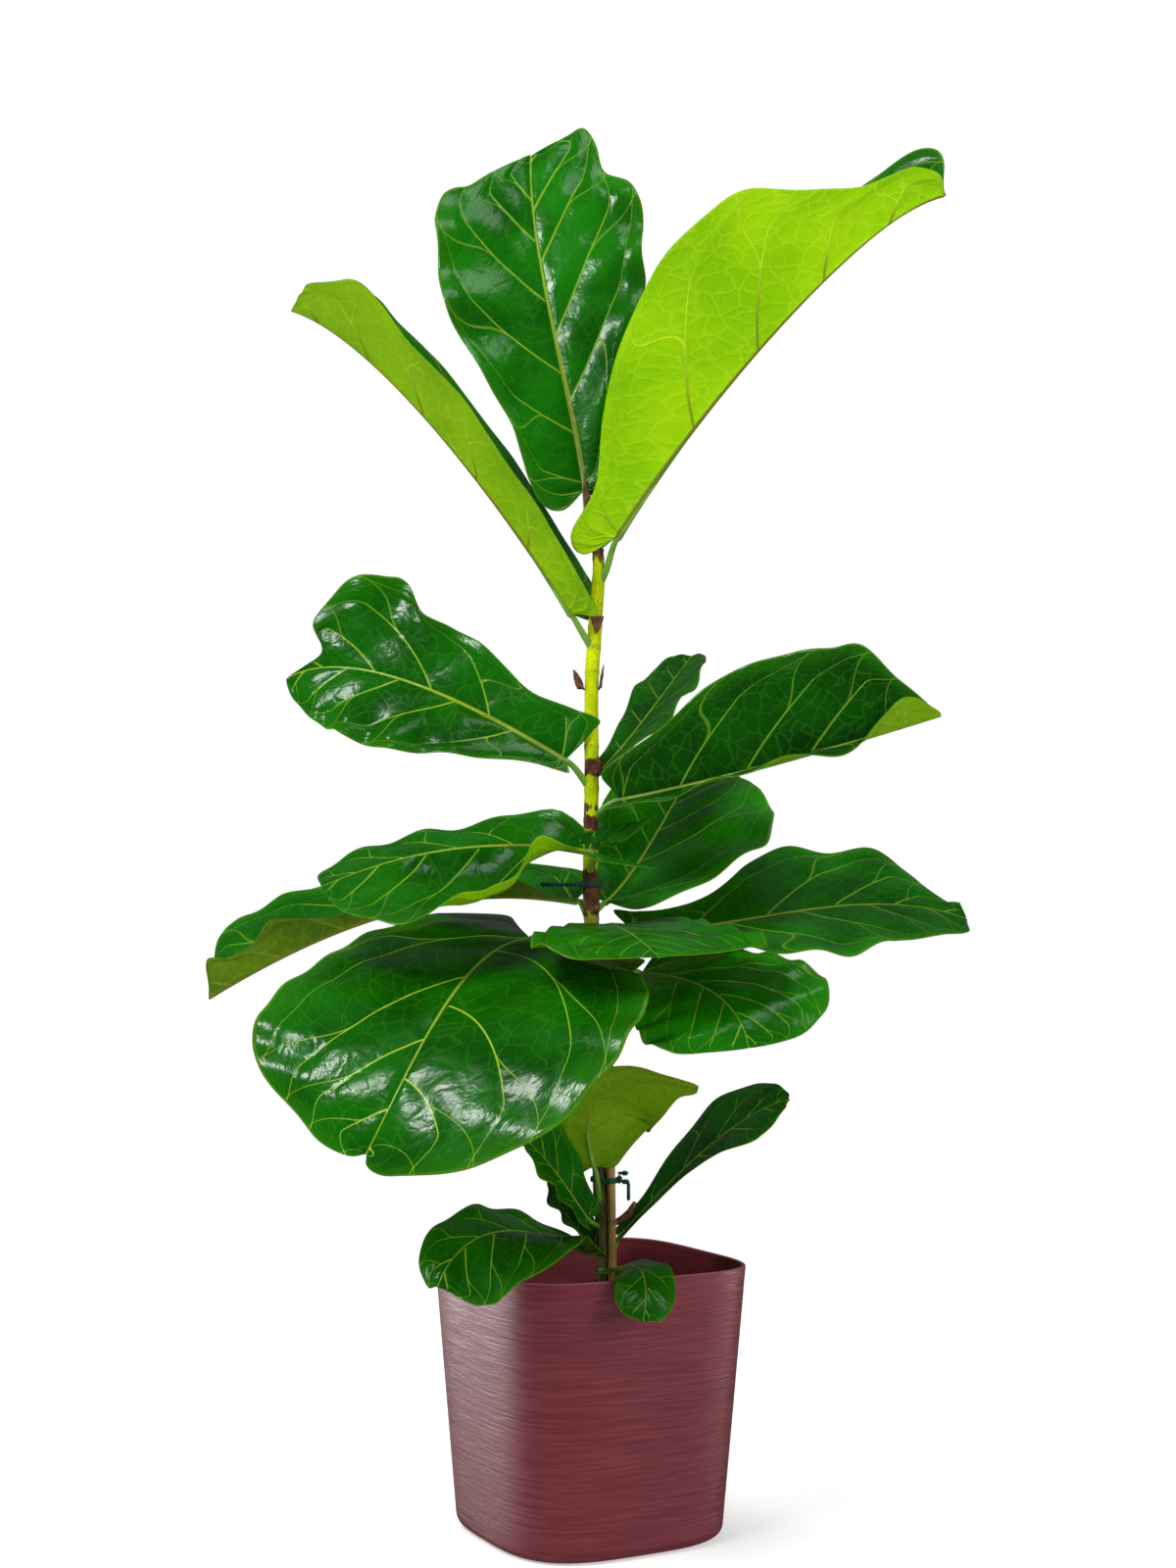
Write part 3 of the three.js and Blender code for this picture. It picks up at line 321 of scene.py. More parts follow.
def vein_field(leaf, u, r, side):
    """The number of the side vein through each flattened place, and the space between veins there."""
    numbers = np.array(VEIN_NUMBERS, float)
    stagger = (VEIN_STAGGER if side > 0 else 0) * (numbers > 0)
    starts = leaf.form["starts"][side] if "starts" in leaf.form else VEIN_STARTS + stagger
    angles = leaf.form["angles"][side] if "angles" in leaf.form else VEIN_ANGLES
    slopes = np.tan(np.radians(angles))
    curve = leaf.form.get("curve", VEIN_CURVE)

    def ahead(p):
        start = np.interp(p, numbers, starts) * leaf.length
        return start + r * np.interp(p, numbers, slopes) + curve * r ** 2 / leaf.length - u

    low = np.full(u.shape, numbers[0])
    high = np.full(u.shape, numbers[-1])
    for _ in range(26):
        middle = (low + high) / 2
        beyond = ahead(middle) > 0
        high = np.where(beyond, middle, high)
        low = np.where(beyond, low, middle)
    p = (low + high) / 2
    rate = (ahead(p + 0.05) - ahead(p - 0.05)) / 0.1
    slant = np.interp(p, numbers, slopes) + 2 * curve * r / leaf.length
    return p, np.maximum(rate, 1) / np.sqrt(1 + slant ** 2)


# ---- Meshes ----

def add_piece(name, node, points, faces, materials, picks=None, attributes=None, flat_map=None):
    """A smooth piece that rides on the part, for a CAD node if one is named. points are metres in
    the row frame."""
    mesh = bpy.data.meshes.new(name)
    mesh.from_pydata(np.asarray(points).tolist(), [], [list(f) for f in faces])
    for material in materials:
        mesh.materials.append(material)
    if picks is not None:
        mesh.polygons.foreach_set("material_index", np.asarray(picks, np.int32))
    mesh.polygons.foreach_set("use_smooth", np.ones(len(mesh.polygons), bool))
    for key, values in (attributes or {}).items():
        layer = mesh.attributes.new(key, "FLOAT", "POINT")
        layer.data.foreach_set("value", np.asarray(values, np.float32))
    if flat_map is not None:
        corners = np.empty(len(mesh.loops), np.int32)
        mesh.loops.foreach_get("vertex_index", corners)
        layer = mesh.uv_layers.new(name="flat")
        layer.data.foreach_set("uv", np.asarray(flat_map, np.float32)[corners].ravel())
    mesh.update()
    piece = bpy.data.objects.new(name, mesh)
    bpy.context.scene.collection.objects.link(piece)
    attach(piece, "root")
    if node:
        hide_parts(node)
    return piece


def ring_quads(rings, sides, start=0, closed=False):
    """Quads between rings of points. closed joins the last ring to the first."""
    faces = []
    for i in range(rings if closed else rings - 1):
        here, there = start + i * sides, start + (i + 1) % rings * sides
        for k in range(sides):
            after = (k + 1) % sides
            faces.append((here + k, here + after, there + after, there + k))
    return faces


def skin(rings, first, last, start=0):
    """Points and faces of a closed skin over rings of equal count, with a point at each end."""
    count, sides = len(rings), len(rings[0])
    faces = ring_quads(count, sides, start)
    base, top = start + count * sides, start + (count - 1) * sides
    for k in range(sides):
        after = (k + 1) % sides
        faces += [(base, start + after, start + k), (base + 1, top + k, top + after)]
    return np.concatenate([*rings, [first], [last]]), faces


def tube(path, radii, sides, start=0):
    """A closed tube along a path, with one radius or a ring of radii at each of its points."""
    path = np.asarray(path, float)
    tangents = unit(np.gradient(path, axis=0))
    across = np.array([1.0, 0.0, 0.0])
    if abs(tangents[0] @ across) > 0.9:
        across = np.array([0.0, 1.0, 0.0])
    c, s = np.cos(circle(sides))[:, None], np.sin(circle(sides))[:, None]
    radii = np.asarray(radii, float)
    if radii.ndim == 1:
        radii = np.repeat(radii[:, None], sides, 1)
    rings = []
    for p, t, radius in zip(path, tangents, radii):
        across = unit(across - (across @ t) * t)
        rings.append(p + radius[:, None] * (c * across + s * np.cross(t, across)))
    return skin(rings, path[0], path[-1], start)


def sheet_faces(grid, sheet):
    """Faces of two sheets of points, numbered by a grid and a count apart, and of the rims down
    their sides. picks is 1 for a face of the second sheet."""
    faces, picks = [], []
    for low, high in zip(grid[:-1].tolist(), grid[1:].tolist()):
        for quad in zip(low, low[1:], high[1:], high):
            corners = list(dict.fromkeys(quad))
            faces += [tuple(corners), tuple(c + sheet for c in reversed(corners))]
            picks += [0, 1]
        for j, turn in ((0, 1), (-1, -1)):
            faces.append((low[j], high[j], high[j] + sheet, low[j] + sheet)[::turn])
            picks.append(0)
    return faces, picks


def tube_values(values, sides):
    """One value for each point of a tube, from one for each ring."""
    return np.concatenate([np.repeat(values, sides), values[:1], values[-1:]])


def tube_noise(sides, spread, heights):
    """Smooth noise round and along a tube."""
    return np.array([[noise.noise(Vector((math.cos(a) * spread, math.sin(a) * spread, h)))
                      for a in circle(sides)] for h in heights])


def peaks(z, bells):
    """The highest at each z of bell curves (middle, spread, height)."""
    return np.max([height * np.exp(-((z - middle) / spread) ** 2)
                   for middle, spread, height in bells], axis=0)


# ---- Material helpers ----

class Nodes:
    """A material's node tree with short calls for the nodes used here."""

    def __init__(self, name):
        self.material = bpy.data.materials.new(name)
        self.material.use_nodes = True
        self.tree = self.material.node_tree
        self.shader = self.tree.nodes["Principled BSDF"]

    def link(self, value, socket):
        if isinstance(value, bpy.types.NodeSocket):
            self.tree.links.new(value, socket)
        else:
            socket.default_value = (*value, 1) if socket.type == "RGBA" else value

    def node(self, kind, inputs, **settings):
        made = self.tree.nodes.new("ShaderNode" + kind)
        for key, value in settings.items():
            setattr(made, key, value)
        for key, value in inputs.items():
            self.link(value, made.inputs[key])
        return made

    def attribute(self, name):
        return self.node("Attribute", {}, attribute_name=name).outputs["Fac"]

    def math(self, operation, a, b):
        return self.node("Math", {0: a, 1: b}, operation=operation).outputs[0]

    def times(self, a, b):
        return self.math("MULTIPLY", a, b)

    def ramp(self, value, low, high, to_low=0.0, to_high=1.0):
        """value taken smoothly from low..high to to_low..to_high."""
        inputs = {"Value": value, "From Min": low, "From Max": high, "To Min": to_low, "To Max": to_high}
        return self.node("MapRange", inputs, interpolation_type="SMOOTHSTEP").outputs["Result"]

    def mix(self, share, a, b):
        return self.node("Mix", {"Factor": share, "A": a, "B": b}, data_type="RGBA").outputs["Result"]

    def tint(self, color, share, strength, other):
        """color taken towards the other by a share of that strength."""
        return self.mix(self.times(share, strength), color, other)

    def vector(self, source="Object", scale=(1, 1, 1)):
        inputs = {0: self.node("TexCoord", {}).outputs[source], 1: scale}
        return self.node("VectorMath", inputs, operation="MULTIPLY").outputs[0]

    def noise(self, vector, scale, detail=3.0, roughness=0.55, output="Fac"):
        inputs = {"Vector": vector, "Scale": scale, "Detail": detail, "Roughness": roughness}
        return self.node("TexNoise", inputs).outputs[output]

    def cells(self, vector, scale, feature="DISTANCE_TO_EDGE"):
        inputs = {"Vector": vector, "Scale": scale}
        return self.node("TexVoronoi", inputs, feature=feature).outputs["Distance"]

    def bump(self, height, distance):
        inputs = {"Strength": 1.0, "Distance": distance, "Height": height}
        return self.node("Bump", inputs).outputs["Normal"]

    def finish(self, color, roughness, normal=None, **constants):
        inputs = {"Base Color": color, "Roughness": roughness, "Normal": normal, **constants}
        for key, value in inputs.items():
            if value is not None:
                self.link(value, self.shader.inputs[key.replace("_", " ")])
        return self.material


def vein_lines(m):
    """Shares from 0 to 1 of the midrib, the side veins and their forks at a place on a leaf."""
    size, reach, gap = (m.attribute(key) for key in ("size", "reach", "gap"))

    def line(distance, width, inner, outer):
        return m.ramp(m.math("DIVIDE", distance, width), inner, outer, 1, 0)

    def vein(key, width, outer):
        distance = m.times(m.math("PINGPONG", m.attribute(key), 0.5), gap)
        return line(distance, m.times(width, size), 0.6, outer)

    rib = m.math("DIVIDE", m.attribute("rib"), size)
    midrib = line(rib, m.ramp(m.attribute("share"), 0, 1, 0.0018, 0.0005), 0.7, 1.5)
    side = vein("vein", m.ramp(reach, 0, 1, 0.0009, 0.00034), 1.5)
    fork = vein("fork", m.ramp(reach, 0.4, 1, 0.0006, 0.0003), 1.6)
    return midrib, side, m.times(fork, m.ramp(reach, 0.42, 0.5))


def leaf_net(m):
    """How far a place is from the walls of the large and of the small cells between side veins."""
    walls = []
    for across, forward, wobble in ((2.6, 72, 0.7), (8.5, 230, 0.9)):
        steps = {0: m.times(m.attribute("vein"), across), 1: m.times(m.attribute("run"), forward)}
        sway = m.noise(m.vector("UV"), forward * 0.7, 2.0, 0.5, "Color")
        inputs = {0: sway, 1: (wobble, wobble, 0), 2: m.node("CombineXYZ", steps).outputs[0]}
        walls.append(m.cells(m.node("VectorMath", inputs, operation="MULTIPLY_ADD").outputs[0], 1))
    return walls


def leaf_top():
    m = Nodes("leaf_upper")
    midrib, side, fork = vein_lines(m)
    large, small = leaf_net(m)
    flat = m.vector("UV")
    reach = m.attribute("reach")
    # upper_tone sets each leaf's green between the darker and the lighter greens below. It is partly the
    # leaf's own tone and partly painted light and shade, set leaf by leaf: leaves that take little light
    # here, such as leaf_13, are painted lighter, and others darker.
    tone = m.attribute("upper_tone")
    deep = m.mix(tone, (0.0008, 0.024, 0.0002), (0.002, 0.072, 0.0004))
    light = m.mix(tone, (0.002, 0.058, 0.0004), (0.005, 0.152, 0.0008))
    vein_color = m.mix(m.attribute("vein_tone"), (0.06, 0.17, 0.008), (0.25, 0.42, 0.02))
    rib_color = m.mix(m.ramp(m.attribute("share"), 0.0, 0.6), (0.24, 0.2, 0.02), (0.2, 0.32, 0.02))
    green = m.mix(m.ramp(m.noise(flat, 16, 4), 0.3, 0.7), deep, light)
    for share, strength, color in (
        (m.ramp(reach, 0.8, 1.0), 0.35, (0.022, 0.15, 0.003)),
        (m.ramp(small, 0.0, 0.12, 1, 0), 0.12, (0.02, 0.13, 0.005)),
        (m.ramp(large, 0.008, 0.05, 1, 0), 0.25, (0.032, 0.165, 0.007)),
        (fork, 0.5, vein_color),
        (side, 0.9, vein_color),
        (midrib, 0.95, rib_color),
        (m.ramp(reach, 0.975, 0.995), 0.4, (0.12, 0.27, 0.012)),
    ):
        green = m.tint(green, share, strength, color)
    roughness = m.ramp(m.noise(flat, 40, 3), 0.3, 0.7, 0.15, 0.23)
    relief = m.math("ADD", m.ramp(large, 0.0, 0.3), m.times(m.ramp(small, 0.0, 0.3), 0.28))
    relief = m.math("SUBTRACT", relief, m.times(m.math("MAXIMUM", side, fork), 0.8))
    return m.finish(green, roughness, m.bump(relief, 0.00014), Specular_IOR_Level=0.24)


def leaf_under():
    m = Nodes("leaf_lower")
    midrib, side, fork = vein_lines(m)
    large, small = leaf_net(m)
    patches = m.ramp(m.noise(m.vector("UV"), 12, 4), 0.3, 0.7)
    # The under side runs from an older leaf's dark green to a light yellow-green. That light green is
    # partly a young leaf's own colour and partly painted light, the glow of light shining through a thin
    # blade. lower_tone sets the mix leaf by leaf, and leaf_08's under side is set to the lightest, a
    # painted lit side though it lies in its own shade.
    young_and_backlit = m.mix(patches, (0.155, 0.38, 0.0008), (0.235, 0.47, 0.0012))
    mature = m.mix(patches, (0.036, 0.083, 0.002), (0.062, 0.125, 0.003))
    tone = m.attribute("lower_tone")
    green = m.mix(tone, mature, young_and_backlit)
    vein_color = m.mix(tone, (0.11, 0.2, 0.012), (0.38, 0.58, 0.016))
    green = m.tint(green, m.ramp(small, 0.0, 0.14, 1, 0), 0.12, vein_color)
    green = m.tint(green, m.ramp(large, 0.01, 0.07, 1, 0), 0.25, vein_color)
    green = m.tint(green, fork, 0.6, vein_color)
    near_rib = m.ramp(m.attribute("reach"), 0.1, 0.6)
    green = m.tint(green, side, 0.85, m.mix(near_rib, (0.14, 0.16, 0.01), vein_color))
    green = m.mix(midrib, green, (0.14, 0.15, 0.012))
    relief = m.times(m.math("MAXIMUM", side, fork), 1.6)
    relief = m.math("SUBTRACT", relief, m.ramp(large, 0.0, 0.2))
    relief = m.math("SUBTRACT", relief, m.times(m.ramp(small, 0.0, 0.25), 0.3))
    return m.finish(green, 0.5, m.bump(relief, 0.00025), Specular_IOR_Level=0.05)


def stalk_skin():
    m = Nodes("leaf_stalk")
    lines = m.noise(m.vector(scale=(1, 1, 0.2)), 300, 3)
    patches = m.ramp(m.noise(m.vector(), 30, 3), 0.3, 0.7)
    color = m.mix(patches, (0.07, 0.2, 0.02), (0.16, 0.33, 0.03))
    color = m.tint(color, m.ramp(lines, 0.55, 0.75), 0.4, (0.3, 0.42, 0.08))
    return m.finish(color, 0.42, m.bump(lines, 0.0004))


# ---- Leaves ----

ROW_STEP = 2.7
COLUMN_STEP = 2.4
FULL_SIZE_LENGTH = 300
# Shares of the way from midrib to edge where side veins begin to bend ahead and to fork.
BEND_START = 0.72
FORK_START = 0.42
EDGE_WAVE = 0.012
QUILT_HEIGHT = 1.9
CREASE_HEIGHT = 0.3
GROOVE_DEPTH = 0.8
GROOVE_WIDTH = 3.2
RIB_HEIGHT = 1.3
RIB_WIDTH = 2.2


def make_leaf(name, form, materials):
    """A blade of two sheets, upper and under, joined at the rim, with its stalk."""
    leaf = Leaf(form)
    seed = sum(ord(c) for c in name)
    size = np.clip(leaf.length / FULL_SIZE_LENGTH, 0.45, 1.15)
    rows = int(np.clip(leaf.length / ROW_STEP, 40, 120))
    half = int(np.clip(leaf.reach / COLUMN_STEP, 12, 44))
    across = 2 * half + 1
    s = np.linspace(0, 1, rows + 1)
    full_turn = 2 * np.pi
    top, under, flats = [], [], []
    fields = {key: [] for key in ("vein", "fork", "gap", "rib", "reach", "share", "run")}
    for side, t in [(-1 if k < 0 else 1, abs(k) / half) for k in range(-half, half + 1)]:
        edge = t ** 6 * EDGE_WAVE * np.sin(full_turn * (5.5 * s + 0.3 * seed))
        edge = edge * np.sin(full_turn * (2.3 * s + seed))
        u, v = leaf.flat(s, t, side)
        u = u + 0.3 * edge * leaf.length
        v = v * (1 + edge)
        r = np.abs(v)
        number, gap = vein_field(leaf, u, r, side)
        bent = number - 0.6 * smooth(t, BEND_START, 1.02)
        fork = number + 0.5 * smooth(t, FORK_START, 0.95)
        swell = np.abs(np.sin(np.pi * bent)) ** 0.7
        calm = smooth(r, 0, 14 * size) * (1 - 0.6 * smooth(t, 0.8, 1.0))
        quilt = QUILT_HEIGHT * size * (swell - 0.6) * calm
        crease = CREASE_HEIGHT * size * np.sin(u / 8.3 + seed) * np.sin(v / 7.1 + 2 * seed)
        quilt = quilt + crease * calm
        lift = quilt - GROOVE_DEPTH * size * np.exp(-(r / (GROOVE_WIDTH * size)) ** 2)
        ridge = RIB_HEIGHT * size * (1 - 0.7 * s) * np.exp(-(r / (RIB_WIDTH * size)) ** 2)
        top.append(leaf.place(u, v, side, lift + BLADE_THICKNESS / 2))
        under.append(leaf.place(u, v, side, lift - BLADE_THICKNESS / 2 - ridge))
        flats.append(np.stack([u, v], -1) / 1000 + seed)
        share = np.clip(u / leaf.length, 0, 1)
        run = (NET_FORWARD * u + NET_OUTWARD * r) / 1000
        values = (bent, fork, gap / 1000, r / 1000, np.full(s.shape, t), share, run)
        for key, value in zip(fields, values):
            fields[key].append(value)

    def gather(*grids):
        """Rows 1 to rows-1 of each grid whole, then its base and its tip as one point each."""
        parts = []
        for grid in grids:
            whole = np.stack(grid, 1)
            parts += [whole[1:rows].reshape(-1, *whole.shape[2:]), whole[[0, rows], half]]
        return np.concatenate(parts)

    inner = (rows - 1) * across
    grid = np.arange(inner).reshape(-1, across)
    grid = np.pad(grid, ((1, 1), (0, 0)), constant_values=((inner, inner + 1), (0, 0)))
    faces, picks = sheet_faces(grid, inner + 2)
    points = gather(top, under)
    stalk_points, stalk_faces = stalk(leaf, form, len(points))
    count = len(stalk_points)
    attributes = {key: np.pad(gather(grid, grid), (0, count)) for key, grid in fields.items()}
    tones = form.get("tones", USUAL_TONES)
    for key, value in zip(("size", "upper_tone", "lower_tone", "vein_tone"), (size, *tones)):
        attributes[key] = np.full(len(points) + count, value)
    flat = np.pad(gather(flats, flats), ((0, count), (0, 0)))
    points = turned(np.concatenate([points, stalk_points]))
    picks += [2] * len(stalk_faces)
    faces += stalk_faces
    add_piece(name + "_blade", name, points, faces, materials, picks, attributes, flat)


def stem_point(z):
    """The stem's centre at a height, in the plant frame."""
    line = along(STEM_PATH, np.linspace(0, 1, 400))
    return np.stack([np.interp(z, line[:, 2], line[:, 0]), np.interp(z, line[:, 2], line[:, 1]), z], -1)


def stem_radius(z):
    s = np.linspace(0, 1, 400)
    return np.interp(z, along(STEM_PATH, s)[:, 2], along(STEM_RADII, s))


def stalk(leaf, form, start):
    """A tube from the stem to the leaf's base and on under its midrib."""
    height, radius = form["node"]
    point, tangent, _, _, _ = leaf.frame(0.0)
    root = stem_point(height)
    outward = unit((point - root) * [1, 1, 0])
    root = root + outward * 2
    reach = np.linalg.norm(point - root)
    leave = (outward + [0, 0, 1]) * 0.7
    controls = [root, root + leave * reach * 0.35, point - tangent * reach * 0.35, point]
    q = np.linspace(0, 1, 15)[:-1, None]
    path = ((1 - q) ** 3 * controls[0] + 3 * q * (1 - q) ** 2 * controls[1]
            + 3 * q ** 2 * (1 - q) * controls[2] + q ** 3 * controls[3])
    q = q[:, 0]
    radii = radius * (1.0 - 0.28 * q + 0.25 * np.exp(-q * 14))
    tuck_reach = 0.3
    tuck = np.linspace(0, tuck_reach, 16)
    points, _, ups, _, _ = leaf.frame(tuck * leaf.length)
    sizes = radius * 0.72 * (1 - tuck / tuck_reach) + 0.5 * tuck / tuck_reach
    path = np.concatenate([path, points - ups * (sizes * 0.75)[:, None]])
    return tube(path, np.concatenate([radii, sizes]), 12, start)


# ---- Pot and soil ----

POT_HEIGHT = 216
POT_TOP_HALF = 110
POT_BOTTOM_HALF = 96.5
POT_TOP_POWER = 4.2
POT_BOTTOM_POWER = 3.3
POT_WALL = 3
POT_FLOOR = 5
POT_FOOT_RADIUS = 9
POT_LIP_RADIUS = 1.5
POT_SIDES = 192
SOIL_LEVEL = 171
SOIL_CROWN = 199
SOIL_MOUND_REACH = 42
SOIL_RINGS = 60
CROWN = turned(STEM_PATH[1]) * 1000


def squircle_ring(z, inset, sides=POT_SIDES):
    """The pot's rounded-square outline at a height, drawn in by an inset."""
    share = z / POT_HEIGHT
    half = POT_BOTTOM_HALF + (POT_TOP_HALF - POT_BOTTOM_HALF) * share - inset
    power = POT_BOTTOM_POWER + (POT_TOP_POWER - POT_BOTTOM_POWER) * share
    angle = 2 * np.pi * (np.arange(sides) + 0.5) / sides
    c, s = np.cos(angle), np.sin(angle)
    x = half * np.sign(c) * np.abs(c) ** (2 / power)
    y = half * np.sign(s) * np.abs(s) ** (2 / power)
    return np.stack([x, y, np.full(sides, float(z))], -1)


def pot_plastic():
    m = Nodes("pot_plastic")
    scratches = m.noise(m.vector(scale=(18, 18, 520)), 1.0, 4, 0.7)
    bands = m.noise(m.vector(scale=(3, 3, 120)), 1.0, 4, 0.6)
    cloud = m.noise(m.vector(), 9, 3)
    color = m.mix(m.ramp(scratches, 0.35, 0.68), (0.094, 0.0122, 0.0168), (0.132, 0.0198, 0.0275))
    color = m.tint(color, m.ramp(bands, 0.5, 0.75), 0.15, (0.19, 0.045, 0.058))
    color = m.tint(color, m.ramp(cloud, 0.45, 0.75), 0.15, (0.09, 0.013, 0.019))
    height = m.node("SeparateXYZ", {0: m.vector()}).outputs["Z"]
    # The rim's top edge is painted half way to a pale pink: a painted highlight along its edge.
    painted_rim_highlight = m.ramp(height, 0.2146, 0.2157, 0, 0.5)
    color = m.mix(painted_rim_highlight, color, (0.36, 0.13, 0.15))
    relief = m.math("ADD", m.times(scratches, 0.6), m.times(bands, 0.3))
    return m.finish(color, m.ramp(scratches, 0.35, 0.65, 0.35, 0.62), m.bump(relief, 0.0007),
                    Specular_IOR_Level=0.4, Specular_Tint=(1, 0.76, 0.79))


def make_pot():
    foot, lip = POT_FOOT_RADIUS, POT_LIP_RADIUS
    rings = []
    for a in [math.pi / 2 * k / 8 for k in range(9)]:
        rings.append(squircle_ring(foot * (1 - math.cos(a)), foot * (1 - math.sin(a))))
    for z in np.linspace(foot, POT_HEIGHT - lip, 18)[1:]:
        rings.append(squircle_ring(z, 0))
    for a in [math.pi * k / 8 for k in range(1, 8)]:
        rings.append(squircle_ring(POT_HEIGHT - lip + lip * math.sin(a), lip * (1 - math.cos(a))))
    for z in np.linspace(POT_HEIGHT - lip, POT_FLOOR + foot, 12):
        rings.append(squircle_ring(z, POT_WALL))
    for a in [math.pi / 2 * k / 5 for k in range(1, 6)]:
        z = POT_FLOOR + foot * (1 - math.sin(a))
        rings.append(squircle_ring(z, POT_WALL + foot * (1 - math.cos(a))))
    points, faces = skin(rings, (0, 0, 0), (0, 0, POT_FLOOR))
    return add_piece("pot_shell", "pot", points / 1000, faces, [pot_plastic()])


def soil_crumbs():
    m = Nodes("potting_soil")
    place = m.vector()
    grains = m.noise(place, 420, 5, 0.7)
    lumps = m.cells(place, 160, "F1")
    color = m.mix(m.ramp(grains, 0.35, 0.7), (0.006, 0.003, 0.002), (0.042, 0.017, 0.012))
    color = m.tint(color, m.ramp(m.noise(place, 90, 2), 0.6, 0.72), 0.5, (0.09, 0.04, 0.026))
    relief = m.math("ADD", grains, m.times(lumps, -1.5))
    return m.finish(color, 0.93, m.bump(relief, 0.003), Specular_IOR_Level=0.15)


def soil_height(x, y):
    """The soil's surface, with its mound round the stem, at a place in the row frame."""
    reach = np.hypot(x - CROWN[0], y - CROWN[1]) / SOIL_MOUND_REACH
    mound = (SOIL_CROWN - SOIL_LEVEL) * np.exp(-reach ** 2)
    return SOIL_LEVEL + mound + 1.5 * np.sin(x / 13) * np.cos(y / 11)


def make_soil():
    sides = 128
    inset = POT_WALL + 0.6
    floor = POT_FLOOR + 0.5
    heights = (floor + POT_FOOT_RADIUS, POT_HEIGHT / 2, SOIL_LEVEL - 6)
    rings = [squircle_ring(z, inset, sides) for z in heights]
    edge = squircle_ring(SOIL_LEVEL - 5, inset + 0.4, sides)
    for k in range(SOIL_RINGS):
        ring = edge.copy()
        ring[:, :2] = CROWN[:2] + (edge[:, :2] - CROWN[:2]) * (1 - k / SOIL_RINGS)
        rough = [noise.fractal(Vector((x / 5, y / 5, 0.3)), 0.6, 2.0, 4) for x, y in ring[:, :2]]
        ring[:, 2] = soil_height(ring[:, 0], ring[:, 1]) - 1.2 + 0.9 * np.array(rough) * min(1, k / 3)
        rings.append(ring)
    points, faces = skin(rings, (0, 0, floor), (*CROWN[:2], SOIL_CROWN - 2))
    add_piece("soil_bed", "soil", points / 1000, faces, [soil_crumbs()])


def chip_bark():
    m = Nodes("bark_chip")
    grain = m.ramp(m.noise(m.vector(), 200, 4), 0.35, 0.65)
    color = m.mix(grain, (0.014, 0.006, 0.004), (0.1, 0.045, 0.027))
    return m.finish(color, 0.85, m.bump(m.noise(m.vector(), 700, 4), 0.001), Specular_IOR_Level=0.15)


CHIP_COUNT = 420
CHIP_REACH = 100
CHIP_WALL_REACH = 98
CHIP_STEM_GAP = 14


def make_chips():
    """Loose bark chips and crumbs on the soil."""
    points, faces = [], []
    for _ in range(CHIP_COUNT):
        angle = random.uniform(0, 2 * math.pi)
        reach = CHIP_REACH * math.sqrt(random.random())
        x, y = reach * math.cos(angle), reach * math.sin(angle)
        near_stem = math.hypot(x - CROWN[0], y - CROWN[1]) < CHIP_STEM_GAP
        if abs(x) > CHIP_WALL_REACH or abs(y) > CHIP_WALL_REACH or near_stem:
            continue
        size = random.uniform(1.2, 4.2)
        wide, thick = size * random.uniform(0.45, 0.9), size * random.uniform(0.25, 0.6)
        heading = Matrix.Rotation(random.uniform(0, 6.3), 3, "Z")
        turn = heading @ Matrix.Rotation(random.uniform(-0.5, 0.5), 3, "X")
        z = float(soil_height(np.array(x), np.array(y))) - 0.2
        total = len(points)
        shell = bmesh.new()
        bmesh.ops.create_icosphere(shell, subdivisions=1, radius=1)
        for vert in shell.verts:
            k = random.uniform(0.75, 1.15)
            vert.co = turn @ Vector((vert.co.x * size * k, vert.co.y * wide * k, vert.co.z * thick * k))
        points += [(v.co.x + x, v.co.y + y, v.co.z + z) for v in shell.verts]
        faces += [tuple(v.index + total for v in f.verts) for f in shell.faces]
        shell.free()
    add_piece("soil_chips", None, np.array(points) / 1000, faces, [chip_bark()])


# ---- Stem, stake and what is on them ----

STEM_FOOT = 150
STEM_TOP = 837
STEM_SIDES = 28
RING_STEP = 1.5
NODE_WIDTH = 2.2
NODE_SWELL = 0.07
STEM_UNEVENNESS = 0.045
# Leaf scars without a leaf make rings too.
NODE_HEIGHTS = sorted({form["node"][0] for form in LEAVES.values()} | {561, 640, 703, 741, 800})
# Where papery scraps of old scales cling to the stem: height, spread and how thickly.
HUSKS = [(622, 9, 0.75), (588, 9, 0.5), (576, 10, 0.7), (560, 8, 0.55), (524, 18, 0.8),
         (500, 8, 0.4), (806, 5, 0.5)]


def stem_skin():
    m = Nodes("stem_bark")
    place = m.vector()
    streaks = m.noise(m.vector(scale=(1, 1, 0.12)), 420, 4, 0.65)
    dark_streaks = m.ramp(streaks, 0.35, 0.65)
    patches = m.noise(place, 55, 4)
    young = m.mix(m.ramp(patches, 0.3, 0.7), (0.32, 0.43, 0.001), (0.5, 0.62, 0.002))
    old = m.mix(dark_streaks, (0.045, 0.04, 0.015), (0.17, 0.15, 0.05))
    blur = m.times(m.math("SUBTRACT", patches, 0.5), 0.9)
    age = m.math("ADD", m.ramp(m.attribute("height"), 0.36, 0.66, 1, 0), blur)
    color = m.mix(m.ramp(age, 0.25, 0.75), young, old)
    color = m.tint(color, m.attribute("ring"), m.ramp(patches, 0.4, 0.7, 0, 0.6), (0.16, 0.1, 0.02))
    scraps = m.noise(m.vector(scale=(1, 1, 0.35)), 130, 4, 0.6)
    husk = m.math("ADD", m.attribute("husk"), m.math("SUBTRACT", scraps, 0.5))
    husk_color = m.mix(dark_streaks, (0.03, 0.013, 0.007), (0.12, 0.05, 0.028))
    color = m.mix(m.ramp(husk, 0.38, 0.46), color, husk_color)
    specks = m.ramp(m.cells(place, 330, "F1"), 0.1, 0.22, 1, 0)
    color = m.tint(color, specks, 0.45, (0.33, 0.27, 0.12))
    relief = m.math("ADD", streaks, specks)
    return m.finish(color, 0.6, m.bump(relief, 0.0012), Specular_IOR_Level=0.1)


